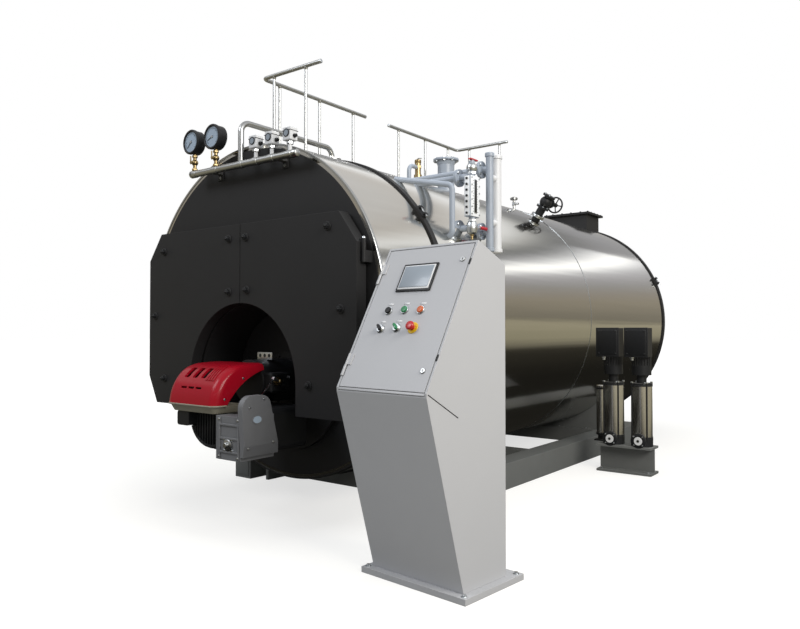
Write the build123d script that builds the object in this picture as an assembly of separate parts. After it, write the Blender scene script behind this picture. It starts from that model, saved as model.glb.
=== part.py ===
"""Packaged fire-tube steam boiler with burner, feed pumps and control console.

Millimetres, +Z up, front towards -Y. The origin is on the floor, under the shell
axis, half way along the jacket.
"""

import os
from math import sqrt

from build123d import *

# Shell and jacket
shell_radius = 1170
floor_clearance = 180
jacket_length = 5280
jacket_wall = 30
front_section = 660
band_width = 50
band_thickness = 12
rear_plate_thickness = 30
rear_chamber_share = 0.855
rear_chamber_length = 360
rear_chamber_fillet = 25
fit_gap = 0.3
axis_height = shell_radius + floor_clearance
crown_z = axis_height + shell_radius
inner_radius = shell_radius - jacket_wall
plate_radius = inner_radius - fit_gap

# Smokebox and its doors, placed from the shell axis by shares of the shell radius
smokebox_depth = 380
frame_thickness = 14
arch_wall = 16
leg_drop_share = 0.564
furnace_drop_share = 0.389
arch_share = 0.457
tube_plate_thickness = 30
tube_radius = 38
tube_pitch = 150
tube_margin = 75
door_width_share = 0.889
door_rise_share = 0.526
door_drop_share = 0.551
door_thickness = 85
door_standoff = 20
door_top_chamfer = (145, 195)
door_bottom_chamfer = (100, 200)
door_seam = 6
door_seal = 60
door_hinge_offset = 18
hinge_radius = 14
hinge_length = 70
hinge_shares = (-0.265, 0.316)
hinge_arm = 14
leg_bottom = axis_height - shell_radius * leg_drop_share
furnace_height = axis_height - shell_radius * furnace_drop_share
arch_radius = shell_radius * arch_share
door_half_width = shell_radius * door_width_share
door_top = axis_height + shell_radius * door_rise_share
door_bottom = axis_height - shell_radius * door_drop_share

# Base frame
beam_share = 0.897
beam_width = 190
beam_height = 200
beam_plate = 14
beam_front = 740
beam_rear_margin = 480
cross_drop = 30
cross_width = 120
front_cross_y = 1030
rear_cross_margin = 1030
saddle_thickness = 40
saddle_share = 0.7
saddle_drop_share = 0.675
lug_length = 230
lug_thickness = 30
lug_hole = 32
beam_outer = shell_radius * beam_share
beam_rear = jacket_length - beam_rear_margin
cross_height = floor_clearance - cross_drop
rear_cross_y = jacket_length - rear_cross_margin
saddle_half_width = shell_radius * saddle_share
saddle_height = axis_height - shell_radius * saddle_drop_share

# Flue outlet
flue_overhang = 130
flue_length = 476
flue_half_width = 300
flue_rise = 202
flue_flange = 26
flue_lip = 42
flue_front = jacket_length - flue_overhang
flue_top = crown_z + flue_rise

# Burner, placed from the furnace axis
burner_plate_margin = 25
burner_plate_thickness = 40
head_radius = 150
head_flange = 200
head_flange_thickness = 26
head_gap = 10
linkage_size = (110, 170, 130)
scroll_left = -250
scroll_right = 380
scroll_front = -160
scroll_rear = 150
scroll_drop = 425
scroll_fillet = 40
hood_x = -80
hood_half_width = 250
hood_front = -450
hood_rear = -37
hood_drop = 130
hood_rise = 133
hood_wall = 12
hood_shoulder = 46
hood_nose = 60
slot_positions = (-115, -30, 55)
slot_width = 52
slot_length = 95
slot_corner = 14
vent_positions = (-90, -15, 60)
vent_size = (60, 14)
strake_positions = (105, 129, 153, 177)
strake_width = 11
strake_height = 6
tray_height = 45
tray_inset = 8
tray_corner = 55
tray_slant = 30
motor_x = 0
motor_drop = 195
motor_radius = 226
motor_front = -330
motor_step = 30
motor_box_left = -262
motor_box_width = 122
motor_box_depth = 75
motor_box_height = 95
motor_box_fillet = 18
fin_count = 30
fin_height = 9
fin_width = 10
intake_left = 172
intake_right = 400
intake_front = -430
intake_drop = 443
cover_thickness = 42
cover_top_width = 190
cover_bottom_width = 285
cover_drop = 417
cover_height = 372
cover_bend = 70
burner_plate_radius = arch_radius - burner_plate_margin
scroll_bottom = furnace_height - scroll_drop
hood_bottom = furnace_height - hood_drop
hood_top = furnace_height + hood_rise
motor_z = furnace_height - motor_drop
intake_bottom = furnace_height - intake_drop
cover_bottom = furnace_height - cover_drop
cover_top = cover_bottom + cover_height

# Instrument manifold above the smokebox
manifold_y = -100
manifold_drop = 150
manifold_half = 540
manifold_radius = 24
bracket_x = 330
bracket_width = 50
gauge_positions = (-504, -267)
gauge_radius = 85
gauge_depth = 62
gauge_rise = 227
cock_radius = 13
cock_body = 24
switch_positions = (151, 306, 474)
switch_size = (74, 66, 84)
switch_rise = 126
switch_stem = 13
siphon_radius = 20
siphon_rise = 142
siphon_bend = 70
siphon_rear = 805
siphon_flange = 72
manifold_z = crown_z - manifold_drop
gauge_z = manifold_z + gauge_rise
switch_z = manifold_z + switch_rise
siphon_top = crown_z + siphon_rise

# Walkway rails
rail_half = 300
rail_rise = 630
rail_radius = 15
post_radius = 11
front_rail_y = 365
front_rail_end = 1565
rear_rail_start = 1900
rear_rail_y = 3075
rail_bend = 40
rail_height = crown_z + rail_rise

# Top fittings
steam_share = 0.4566
steam_radius = 80
steam_flange = 122
steam_rise = 365
safety_share = 0.3693
safety_rise = 270
safety_radius = 27
stub_radius = 18
vent_x_share = 0.359
vent_share = 0.5663
vent_height = 110
steam_y = jacket_length * steam_share
steam_top = crown_z + steam_rise
safety_y = jacket_length * safety_share
safety_top = crown_z + safety_rise
vent_x = shell_radius * vent_x_share
vent_y = jacket_length * vent_share

# Water level fittings on the right side, placed from the shell axis
column_inset = 65
standpipe_start_share = 0.513
standpipe_inset = 110
standpipe_y = 890
standpipe_start_y = 835
standpipe_radius = 20
standpipe_low_share = 0.47
standpipe_corner_share = 0.779
standpipe_high_share = 0.855
gauge_glass_y = 1117
gauge_glass_low_share = 0.607
gauge_glass_high_share = 0.861
gauge_glass_width = 130
gauge_glass_depth = 46
gauge_neck_rise = 110
gauge_neck_radius = 22
gauge_arm_share = 0.8615
column_arm_share = 0.9385
lower_arm_share = 0.5427
arm_radius = 24
arm_flange = 64
arm_flange_thickness = 22
gauge_flange_reach = 121
column_flange_reach = 60
grey_column_y = 1331
white_column_y = 1435
column_low_share = 0.41
column_high_share = 1.039
grey_column_radius = 28
white_column_radius = 36
column_x = shell_radius - column_inset
standpipe_x = shell_radius - standpipe_inset
lower_arm_z = axis_height + shell_radius * lower_arm_share
gauge_arm_z = axis_height + shell_radius * gauge_arm_share
column_arm_z = axis_height + shell_radius * column_arm_share
column_low = axis_height + shell_radius * column_low_share
column_high = axis_height + shell_radius * column_high_share

# Stop valve and handwheel
valve_angle = 34.5
valve_share = 0.5634
valve_nozzle = 40
valve_flange = 62
valve_body_radius = 58
valve_reach = 190
stem_length = 205
stem_radius = 10
wheel_radius = 74
wheel_rim = 8
wheel_hub = 20
spoke_count = 5
valve_y = jacket_length * valve_share

# Feed pumps and their stand
stand_aside = 140
stand_length = 480
stand_share = 0.5388
stand_width = 205
stand_height = 240
stand_flange = 20
stand_web = 14
pump_inset = 122
pump_base_height = 70
pump_base_radius = 92
pump_port = 52
barrel_radius = 86
barrel_length = 460
lantern_length = 86
lantern_radius = 42
pump_flange_thickness = 16
pump_motor_length = 409
pump_motor_radius = 82
pump_fin_count = 20
pump_fin_height = 8
pump_fin_width = 8
terminal_size = 200
terminal_depth = 120
terminal_height = 250
stand_left = shell_radius + stand_aside
stand_right = stand_left + stand_length
stand_front = jacket_length * stand_share
pump_positions = (stand_left + pump_inset, stand_right - pump_inset + barrel_radius / 6)

# Control console
console_aside = 244
console_y = -400
console_turn = -5.8
console_width = 586
console_plinth = 30
console_wall = 12
lip_y = -259
lip_z = 969
lip_drop = 20
ridge_y = 122
ridge_z = 1679
rear_y = 340
rear_top_z = 1577
panel_thickness = 20
panel_gap = 5
panel_rim = 12
panel_ledge = 24
plinth_margin = 45
panel_hinge_radius = 6
panel_hinge_length = 60
console_x = shell_radius + console_aside


def at(distance):
    """Y of a point that far behind the front edge of the jacket."""
    return distance - jacket_length / 2


def jacket_top(x):
    """Height of the jacket over a given x."""
    return axis_height + sqrt(shell_radius**2 - x**2)


def block(x0, x1, y0, y1, z0, z1):
    size = Box(x1 - x0, y1 - y0, z1 - z0)
    return Pos((x0 + x1) / 2, (y0 + y1) / 2, (z0 + z1) / 2) * size


def rod_x(radius, x0, x1, y, z):
    return Pos((x0 + x1) / 2, y, z) * Rot(0, 90, 0) * Cylinder(radius, x1 - x0)


def rod_y(radius, x, y0, y1, z):
    return Pos(x, (y0 + y1) / 2, z) * Rot(90, 0, 0) * Cylinder(radius, y1 - y0)


def rod_z(radius, x, y, z0, z1):
    return Pos(x, y, (z0 + z1) / 2) * Cylinder(radius, z1 - z0)


def front_view(sketch, y, depth):
    """Extrude an X-Z sketch from y towards the rear."""
    return extrude(Plane((0, y, 0), (1, 0, 0), (0, -1, 0)) * sketch, amount=-depth)


def side_view(sketch, x, width):
    """Extrude a Y-Z sketch from x towards +X."""
    return extrude(Plane((x, 0, 0), (0, 1, 0), (1, 0, 0)) * sketch, amount=width)


def outline(*points):
    return make_face(Polyline(*points, close=True))


def pipe(radius, bend, *points):
    """Round pipe along a line with rounded corners."""
    path = FilletPolyline(*points, radius=bend)
    return sweep(Plane(path @ 0, z_dir=path % 0) * Circle(radius), path=path)


def single(shape):
    """The one solid of a result that can come back as a list."""
    return shape.solids()[0]


pieces = {}
shell_form = rod_y(shell_radius + fit_gap, 0, at(0), at(jacket_length), axis_height)

# Jacket, bands and end plates
jacket_ring = Pos(0, axis_height) * (Circle(shell_radius) - Circle(inner_radius))
front_jacket = front_view(jacket_ring, at(0), front_section)
front_jacket -= block(-shell_radius, shell_radius, at(-1), at(smokebox_depth), 0, leg_bottom)
pieces["front_jacket"] = front_jacket
pieces["main_jacket"] = front_view(jacket_ring, at(front_section), jacket_length - front_section)
strap_ring = Circle(shell_radius + fit_gap + band_thickness) - Circle(shell_radius + fit_gap)
strap_ring = Pos(0, axis_height) * strap_ring
pieces["front_band"] = front_view(strap_ring, at(front_section - band_width / 2), band_width)
pieces["rear_band"] = front_view(strap_ring, at(jacket_length - band_width), band_width)
rear_disc = Pos(0, axis_height) * Circle(plate_radius)
rear_plate_y = at(jacket_length - rear_plate_thickness)
pieces["rear_plate"] = front_view(rear_disc, rear_plate_y, rear_plate_thickness)
rear_chamber_radius = shell_radius * rear_chamber_share
rear_chamber = front_view(Pos(0, axis_height) * Circle(rear_chamber_radius), at(jacket_length),
                          rear_chamber_length)
rear_edge = rear_chamber.edges().sort_by(Axis.Y)[-1]
pieces["rear_chamber"] = fillet(rear_edge, rear_chamber_fillet)

# Smokebox: a door frame in front of the tube plate and an arched wall round the burner


def horseshoe(radius, bottom, arch):
    disc = Pos(0, axis_height) * Circle(radius)
    below = Pos(0, bottom - radius) * Rectangle(4 * radius, 2 * radius)
    return disc - below - archway(arch)


def archway(radius):
    """Round-topped opening over the furnace front, open at the bottom."""
    crown = Pos(0, furnace_height) * Circle(radius)
    legs = Pos(0, furnace_height - shell_radius) * Rectangle(2 * radius, 2 * shell_radius)
    return crown + legs


def door_face(inset):
    """Right-hand door outline, drawn inwards by the inset."""
    left = door_seam / 2 + inset
    right = door_half_width - inset
    top = door_top - inset
    bottom = door_bottom + inset
    face = outline(
        (left, bottom),
        (right - door_bottom_chamfer[0], bottom),
        (right, bottom + door_bottom_chamfer[1]),
        (right, top - door_top_chamfer[1]),
        (right - door_top_chamfer[0], top),
        (left, top),
    )
    return face - archway(arch_radius + inset)


smokebox_frame = front_view(horseshoe(plate_radius, leg_bottom, arch_radius), at(0), frame_thickness)
right_opening = front_view(door_face(door_seal), at(-1), frame_thickness + 2)
smokebox_frame -= right_opening
smokebox_frame -= mirror(right_opening, Plane.YZ)
arch_face = horseshoe(plate_radius, leg_bottom, arch_radius)
arch_face -= horseshoe(shell_radius, leg_bottom + arch_wall, arch_radius + arch_wall)
pieces["smokebox_arch"] = front_view(arch_face, at(frame_thickness), smokebox_depth - frame_thickness)

tube_plate = front_view(rear_disc, at(smokebox_depth), tube_plate_thickness)
row_pitch = tube_pitch * sqrt(3) / 2
tube_rows = int(2 * shell_radius / row_pitch)
tube_columns = int(shell_radius / tube_pitch)
tube_spots = []
for row in range(tube_rows):
    tube_z = crown_z - tube_margin - row * row_pitch
    for column in range(-tube_columns, tube_columns + 1):
        tube_x = (column + 0.5 * (row % 2)) * tube_pitch
        inside = tube_x**2 + (tube_z - axis_height)**2 < (plate_radius - tube_margin)**2
        outside = tube_x**2 + (tube_z - furnace_height)**2 > (arch_radius + tube_margin)**2
        if inside and outside and tube_z > furnace_height:
            tube_spots.append((tube_x, tube_z))
tube_holes = Sketch() + [Pos(*spot) * Circle(tube_radius) for spot in tube_spots]
tube_plate -= front_view(tube_holes, at(smokebox_depth - 1), tube_plate_thickness + 2)
pieces["tube_plate"] = tube_plate

door_back = at(-door_standoff)
door_front = door_back - door_thickness
hinge_x = door_half_width + door_hinge_offset
hinge_y = door_back - door_thickness / 2
right_door = front_view(door_face(0), door_front, door_thickness)
for share in hinge_shares:
    hinge_z = axis_height + shell_radius * share
    knuckle = rod_z(hinge_radius, hinge_x, hinge_y, hinge_z, hinge_z + hinge_length)
    strap = block(door_half_width - hinge_length, hinge_x, hinge_y - hinge_arm / 2,
                  hinge_y + hinge_arm / 2, hinge_z, hinge_z + hinge_length)
    right_door += knuckle + strap
    bracket = rod_z(hinge_radius, hinge_x, hinge_y, hinge_z - hinge_length, hinge_z - fit_gap)
    bracket += block(hinge_x - hinge_radius, hinge_x + hinge_radius, hinge_y, at(0),
                     hinge_z - hinge_length, hinge_z - fit_gap)
    smokebox_frame += bracket
    smokebox_frame += mirror(bracket, Plane.YZ)
pieces["smokebox_frame"] = smokebox_frame
pieces["right_door"] = right_door
pieces["left_door"] = mirror(right_door, Plane.YZ)

# Base frame
beam_face = Rectangle(beam_width, beam_height) - Rectangle(beam_width - 2 * beam_plate,
                                                           beam_height - 2 * beam_plate)
beam_centre = beam_outer - beam_width / 2
beam_length = beam_rear - beam_front
right_beam = front_view(Pos(beam_centre, beam_height / 2) * beam_face, at(beam_front), beam_length)
end_cap = block(beam_outer - beam_width, beam_outer, at(beam_front), at(beam_front + beam_plate),
                0, beam_height)
right_beam += end_cap
right_beam += Pos(0, beam_length - beam_plate, 0) * end_cap
pieces["right_beam"] = right_beam
pieces["left_beam"] = mirror(right_beam, Plane.YZ)
cross_half = beam_outer - beam_width
lug_face = outline((0, 0), (lug_length, 0), (lug_length, cross_height), (lug_length / 3, cross_height),
                   (0, cross_height * 2 / 3))
lug_face -= Pos(lug_length / 3, cross_height / 2) * Circle(lug_hole)
cross_positions = (front_cross_y, (jacket_length - cross_width) / 2, rear_cross_y)
cross_names = ("front_cross_member", "middle_cross_member", "rear_cross_member")
for name, position in zip(cross_names, cross_positions):
    member_face = Rectangle(cross_width, cross_height)
    member_face -= Rectangle(cross_width - 2 * beam_plate, cross_height - 2 * beam_plate)
    member = side_view(Pos(at(position) + cross_width / 2, cross_height / 2) * member_face,
                       -cross_half, 2 * cross_half)
    if name == "front_cross_member":
        lug = side_view(Pos(at(position - lug_length), 0) * lug_face, cross_half - 2 * lug_length / 3,
                        lug_thickness)
        member += lug
        member += mirror(lug, Plane.YZ)
    pieces[name] = member
saddle_base = outline((-saddle_half_width, cross_height), (saddle_half_width, cross_height),
                      (saddle_half_width, saddle_height), (-saddle_half_width, saddle_height))
saddle_face = saddle_base - Pos(0, axis_height) * Circle(shell_radius + fit_gap)
saddle_inset = (cross_width - saddle_thickness) / 2
pieces["front_saddle"] = front_view(saddle_face, at(cross_positions[0] + saddle_inset), saddle_thickness)
pieces["rear_saddle"] = front_view(saddle_face, at(cross_positions[2] + saddle_inset), saddle_thickness)

# Flue outlet at the top of the rear
flue_rear = flue_front + flue_length
flue_box = block(-flue_half_width + flue_lip, flue_half_width - flue_lip, at(flue_front + flue_lip),
                 at(flue_rear - flue_lip), axis_height, flue_top)
flue_box += block(-flue_half_width, flue_half_width, at(flue_front), at(flue_rear),
                  flue_top - flue_flange, flue_top)
flue_box -= block(-flue_half_width + flue_lip + flue_flange, flue_half_width - flue_lip - flue_flange,
                  at(flue_front + flue_lip + flue_flange), at(flue_rear - flue_lip - flue_flange),
                  flue_top - flue_lip * 3, flue_top + 1)
band_form = rod_y(shell_radius + 2 * fit_gap + band_thickness, 0, at(0), at(jacket_length) + fit_gap,
                  axis_height)
flue_box -= band_form
flue_box -= rod_y(rear_chamber_radius + fit_gap, 0, at(jacket_length), at(flue_rear), axis_height)
pieces["flue_box"] = single(flue_box)

# Burner on the furnace front
burner_plate_y = at(smokebox_depth - burner_plate_thickness)
burner_disc = Pos(0, furnace_height) * Circle(burner_plate_radius)
pieces["burner_plate"] = front_view(burner_disc, burner_plate_y, burner_plate_thickness)
burner_head = rod_y(head_radius, 0, at(hood_rear + head_gap), burner_plate_y, furnace_height)
burner_head += rod_y(head_flange, 0, burner_plate_y - head_flange_thickness, burner_plate_y, furnace_height)
linkage_x = head_radius + linkage_size[0] / 2
linkage = Box(*linkage_size)
linkage = Pos(linkage_x - scroll_fillet, at(scroll_rear) - linkage_size[1] / 2, furnace_height) * linkage
burner_head += chamfer(linkage.edges(), fin_width)
scroll = block(scroll_left, scroll_right, at(scroll_front), at(scroll_rear), scroll_bottom,
               furnace_height - head_radius)
scroll = fillet(scroll.edges().filter_by(Axis.Y), scroll_fillet)
pieces["burner_scroll"] = scroll - rod_y(head_radius + fit_gap, 0, at(scroll_front), at(scroll_rear),
                                         furnace_height)
pieces["burner_head"] = burner_head - scroll

# Burner hood: a thin moulding lofted through plan outlines that shrink up the bonnet line
hood_run = hood_rear - hood_front
hood_height = hood_top - hood_bottom
bonnet_shares = ((0, 0), (0.02, 0.19), (0.075, 0.45), (0.225, 0.76), (0.36, 0.9), (0.52, 0.975), (0.68, 1))


def plan_outline(share_back, share_up, skin, overrun):
    """Outline of the hood at a share of its height, drawn in by a skin, with rounded front corners."""
    below_top = min(hood_height * (1 - share_up), hood_shoulder)
    shrink = hood_shoulder - sqrt(hood_shoulder ** 2 - (hood_shoulder - below_top) ** 2)
    half = hood_half_width - shrink - skin
    nose_y = at(hood_front + hood_run * share_back) + skin
    tail_y = at(hood_rear) + overrun
    wing = FilletPolyline((-half, tail_y), (-half, nose_y), (half, nose_y), (half, tail_y),
                          radius=hood_nose - skin)
    face = make_face(wing + Line((half, tail_y), (-half, tail_y)))
    return Pos(hood_x, 0, hood_bottom + hood_height * share_up - skin) * face


def bonnet_form(skin, overrun):
    return loft([plan_outline(back, up, skin, overrun) for back, up in bonnet_shares])


def bonnet(share_back, share_up):
    """Point on the middle of the hood, by shares of its run and its height."""
    return (hood_x, at(hood_front + hood_run * share_back), hood_bottom + hood_height * share_up)


hood = bonnet_form(0, 0) - bonnet_form(hood_wall, hood_wall)
bonnet_line = Spline(*(bonnet(back, up) for back, up in bonnet_shares))
strake_line = bonnet_line.trim(0.4, 0.78)
strake_plane = Plane(strake_line @ 0, (1, 0, 0), strake_line % 0)
for x in strake_positions:
    strake = Pos(x, (hood_wall - strake_height) / 2) * Rectangle(strake_width, hood_wall + strake_height)
    hood += sweep(strake_plane * strake, path=strake_line)


def across_hood(share, x, width, length, corner):
    """Rounded cutter through the skin at a share of the bonnet line."""
    spot = Plane(bonnet_line @ share, (1, 0, 0), Vector(1, 0, 0).cross(bonnet_line % share))
    face = spot * Pos(x, 0) * RectangleRounded(width, length, corner)
    return extrude(face, amount=4 * hood_wall, both=True)


for x in slot_positions:
    hood -= across_hood(0.55, x, slot_width, slot_length, slot_corner)
for x in vent_positions:
    hood -= across_hood(0.27, x, vent_size[0], vent_size[1], vent_size[1] / 3)
cut_start = (at(hood_front + hood_run * 0.25), hood_bottom)
cut_middle = (at(hood_front + hood_run * 0.53), hood_bottom + hood_height * 0.48)
cut_end = (at(hood_rear) + hood_wall, hood_bottom + hood_height * 0.84)
cut_corner = (at(hood_rear) + hood_wall, hood_bottom - hood_wall)
cut_foot = (at(hood_front + hood_run * 0.25), hood_bottom - hood_wall)
skirt_cut = make_face(ThreePointArc(cut_start, cut_middle, cut_end)
                      + Polyline(cut_end, cut_corner, cut_foot, cut_start))
hood -= side_view(skirt_cut, hood_x - 2 * hood_half_width, 4 * hood_half_width)
pieces["burner_hood"] = single(hood)
tray_face = RectangleRounded(2 * (hood_half_width - tray_inset), scroll_front - hood_front - tray_inset,
                             tray_corner)
tray_middle = at((hood_front + tray_inset + scroll_front) / 2)
tray_rim = Pos(hood_x, tray_middle, hood_bottom - fit_gap) * tray_face
tray = extrude(tray_rim, amount=tray_height - fit_gap, dir=(0, 0, -1), taper=tray_slant)
pieces["burner_tray"] = tray
motor_top = hood_bottom - tray_height - fit_gap
fan_motor = rod_y(motor_radius, motor_x, at(motor_front + motor_step), at(scroll_front), motor_z)
fan_motor += rod_y(motor_radius - fin_height, motor_x, at(motor_front), at(scroll_front), motor_z)
for number in range(fin_count):
    groove = Pos(motor_radius, (at(motor_front) + at(scroll_front)) / 2, 0)
    groove = groove * Box(2 * fin_height, scroll_front - motor_front - 2 * motor_step, fin_width)
    fan_motor -= Pos(motor_x, 0, motor_z) * Rot(0, number * 360 / fin_count, 0) * groove
motor_box = block(motor_box_left, motor_box_left + motor_box_width, at(motor_front - motor_box_depth),
                  at(motor_front + motor_step + fin_height), motor_top - motor_box_height, motor_top)
fan_motor += fillet(motor_box.edges().filter_by(Axis.Y), motor_box_fillet)
fan_motor -= block(-2 * motor_radius, 2 * motor_radius, at(motor_front - 1), at(scroll_front + 1), motor_top,
                   hood_top)
pieces["burner_motor"] = single(fan_motor)
intake = block(intake_left, intake_right, at(intake_front), at(scroll_front), intake_bottom, motor_top)
intake -= rod_y(motor_radius + fit_gap, motor_x, at(motor_front) - fit_gap, at(scroll_front + 1), motor_z)
pieces["air_intake"] = single(intake)
cover_y = at(intake_front)
cover_face = outline((cover_y, cover_bottom), (cover_y + cover_bottom_width, cover_bottom),
                     (cover_y + cover_top_width, cover_top), (cover_y - cover_thickness / 2, cover_top),
                     (cover_y - cover_thickness / 2, cover_bottom + cover_bottom_width))
cover_crown = cover_face.vertices().sort_by(Axis.Y)[-2:]
cover_face = fillet(cover_crown, cover_top_width * 0.4)
cover = side_view(cover_face, intake_right, cover_thickness)
cover_outer = intake_right + cover_thickness
cover_slant = outline((cover_outer - cover_thickness / 2, cover_bottom), (cover_outer, cover_bottom),
                      (cover_outer, cover_bottom + cover_bend))
cover -= front_view(cover_slant, cover_y - cover_thickness, cover_bottom_width + 2 * cover_thickness)
pieces["damper_cover"] = cover

# Instrument manifold, gauges and pressure switches
manifold = rod_x(manifold_radius, -manifold_half, manifold_half, at(manifold_y), manifold_z)
for x in (-bracket_x, bracket_x):
    manifold += block(x - bracket_width / 2, x + bracket_width / 2, at(manifold_y), at(0),
                      manifold_z - manifold_radius / 2, manifold_z + manifold_radius / 2)
pieces["manifold"] = manifold
cock_foot = manifold_z + manifold_radius
for name, x in zip(("left", "right"), gauge_positions):
    case = rod_y(gauge_radius, x, at(manifold_y) - gauge_depth / 2, at(manifold_y) + gauge_depth / 2,
                 gauge_z)
    pieces[name + "_gauge"] = case
    neck_top = gauge_z - gauge_radius - fit_gap
    cock = rod_z(cock_radius, x, at(manifold_y), cock_foot - manifold_radius / 2, neck_top)
    cock += Pos(x, at(manifold_y), (cock_foot + neck_top) / 2) * Sphere(cock_body)
    cock -= rod_x(manifold_radius + fit_gap, -manifold_half, manifold_half, at(manifold_y), manifold_z)
    pieces[name + "_gauge_cock"] = cock
for number, x in enumerate(switch_positions, start=1):
    switch = Pos(x, at(manifold_y), switch_z) * Box(*switch_size)
    switch = chamfer(switch.edges(), 4)
    switch += rod_z(switch_stem, x, at(manifold_y), manifold_z, switch_z)
    switch -= rod_x(manifold_radius + fit_gap, -manifold_half, manifold_half, at(manifold_y), manifold_z)
    pieces["pressure_switch_" + str(number)] = switch
siphon = pipe(siphon_radius, siphon_bend, (0, at(manifold_y), manifold_z),
              (0, at(manifold_y), siphon_top), (0, at(siphon_rear), siphon_top),
              (0, at(siphon_rear), axis_height + inner_radius))
siphon += rod_z(siphon_flange, 0, at(siphon_rear), crown_z + siphon_radius * 2,
                crown_z + siphon_radius * 3)
siphon -= rod_x(manifold_radius + fit_gap, -manifold_half, manifold_half, at(manifold_y), manifold_z)
siphon -= shell_form
pieces["siphon_pipe"] = single(siphon)

# Walkway rails: an L at the front and an L at the rear, each on its posts


def post(x, y):
    return rod_z(post_radius, x, at(y), axis_height, rail_height)


front_rail = pipe(rail_radius, rail_bend, (rail_half, at(front_rail_y), rail_height),
                  (-rail_half, at(front_rail_y), rail_height), (-rail_half, at(front_rail_end), rail_height))
front_span = front_rail_end - front_rail_y
for x in (-rail_half * 0.6, rail_half * 0.5):
    front_rail += post(x, front_rail_y)
for share in (0.14, 0.51, 0.86):
    front_rail += post(-rail_half, front_rail_y + front_span * share)
pieces["front_rail"] = front_rail - shell_form
rear_rail = pipe(rail_radius, rail_bend, (rail_half, at(rear_rail_y), rail_height),
                 (-rail_half, at(rear_rail_y), rail_height), (-rail_half, at(rear_rail_start), rail_height))
rear_span = rear_rail_y - rear_rail_start
for x in (-rail_half * 0.5, rail_half * 0.7):
    rear_rail += post(x, rear_rail_y)
for share in (0.13, 0.5, 0.85):
    rear_rail += post(-rail_half, rear_rail_start + rear_span * share)
pieces["rear_rail"] = rear_rail - shell_form

# Fittings on top of the shell
steam_nozzle = rod_z(steam_radius, 0, at(steam_y), axis_height, steam_top)
steam_nozzle += rod_z(steam_flange, 0, at(steam_y), steam_top - stub_radius, steam_top)
steam_nozzle -= rod_z(steam_radius * 0.85, 0, at(steam_y), crown_z + steam_radius, steam_top + 1)
pieces["steam_nozzle"] = single(steam_nozzle - shell_form)
safety_foot = crown_z + safety_radius * 3
safety_nozzle = rod_z(safety_radius * 1.3, 0, at(safety_y), axis_height, safety_foot)
safety_nozzle += rod_z(safety_radius * 2.2, 0, at(safety_y), safety_foot - safety_radius, safety_foot)
pieces["safety_nozzle"] = single(safety_nozzle - shell_form)
safety_valve = rod_z(safety_radius, 0, at(safety_y), safety_foot, safety_top)
safety_valve += rod_z(safety_radius * 1.35, 0, at(safety_y), safety_foot, safety_foot + safety_radius * 2)
pieces["safety_valve"] = safety_valve
outlet_z = (safety_foot + safety_top) / 2 + safety_radius
outlet_y = safety_y - safety_radius * 5
outlet = pipe(safety_radius * 0.7, safety_radius * 2, (0, at(safety_y), outlet_z),
              (0, at(outlet_y), outlet_z), (0, at(outlet_y), axis_height + inner_radius))
outlet -= rod_z(safety_radius + fit_gap, 0, at(safety_y), safety_foot, safety_top + 1)
pieces["safety_outlet"] = single(outlet - shell_form)
vent_top = jacket_top(vent_x) + vent_height
vent = rod_z(stub_radius * 0.7, vent_x, at(vent_y), axis_height, vent_top)
vent += rod_z(stub_radius * 2, vent_x, at(vent_y), vent_top - stub_radius, vent_top)
pieces["vent_valve"] = single(vent - shell_form)

# Water level fittings beside the shell


def level_height(share):
    return axis_height + shell_radius * share


standpipe = pipe(standpipe_radius, standpipe_radius * 2.2,
                 (shell_radius * standpipe_start_share, at(standpipe_start_y),
                  level_height(standpipe_high_share)),
                 (standpipe_x, at(standpipe_y), level_height(standpipe_corner_share)),
                 (standpipe_x, at(standpipe_y), level_height(standpipe_low_share)),
                 (shell_radius / 2, at(standpipe_y), level_height(standpipe_low_share)))
pieces["standpipe"] = (standpipe - shell_form).solids().sort_by(SortBy.VOLUME)[-1]


def flanged_arm(y, z, reach, end):
    """Pipe out of the shell with a flange that far from the column line."""
    arm = rod_x(arm_radius, 0, end, at(y), z)
    arm += rod_x(arm_flange, column_x - reach - arm_flange_thickness, column_x - reach, at(y), z)
    return arm


glass_x = column_x - gauge_glass_depth / 2
glass_low = level_height(gauge_glass_low_share)
glass_high = level_height(gauge_glass_high_share)
glass_left = at(gauge_glass_y) - gauge_glass_width / 2
level_gauge = block(column_x - gauge_glass_depth, column_x, glass_left, glass_left + gauge_glass_width,
                    glass_low, glass_high)
level_gauge += rod_z(gauge_neck_radius, glass_x, at(gauge_glass_y), lower_arm_z, glass_high + gauge_neck_rise)
level_gauge += flanged_arm(gauge_glass_y, gauge_arm_z, gauge_flange_reach, glass_x)
level_gauge += flanged_arm(gauge_glass_y, lower_arm_z, gauge_flange_reach, glass_x)
pieces["level_gauge"] = (level_gauge - shell_form).solids().sort_by(SortBy.VOLUME)[-1]
grey_column = rod_z(grey_column_radius, column_x, at(grey_column_y), column_low, column_high)
grey_column += flanged_arm(grey_column_y, column_arm_z, column_flange_reach, column_x)
grey_column += flanged_arm(grey_column_y, lower_arm_z, column_flange_reach, column_x)
pieces["grey_column"] = (grey_column - shell_form).solids().sort_by(SortBy.VOLUME)[-1]
white_column = rod_z(white_column_radius, column_x, at(white_column_y), column_low, column_high)
for link_z in (lower_arm_z + arm_flange, column_arm_z - arm_flange):
    white_column += rod_y(arm_radius, column_x, at(grey_column_y), at(white_column_y), link_z)
white_column -= rod_z(grey_column_radius + fit_gap, column_x, at(grey_column_y), column_low, column_high)
pieces["white_column"] = single(white_column)

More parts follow.
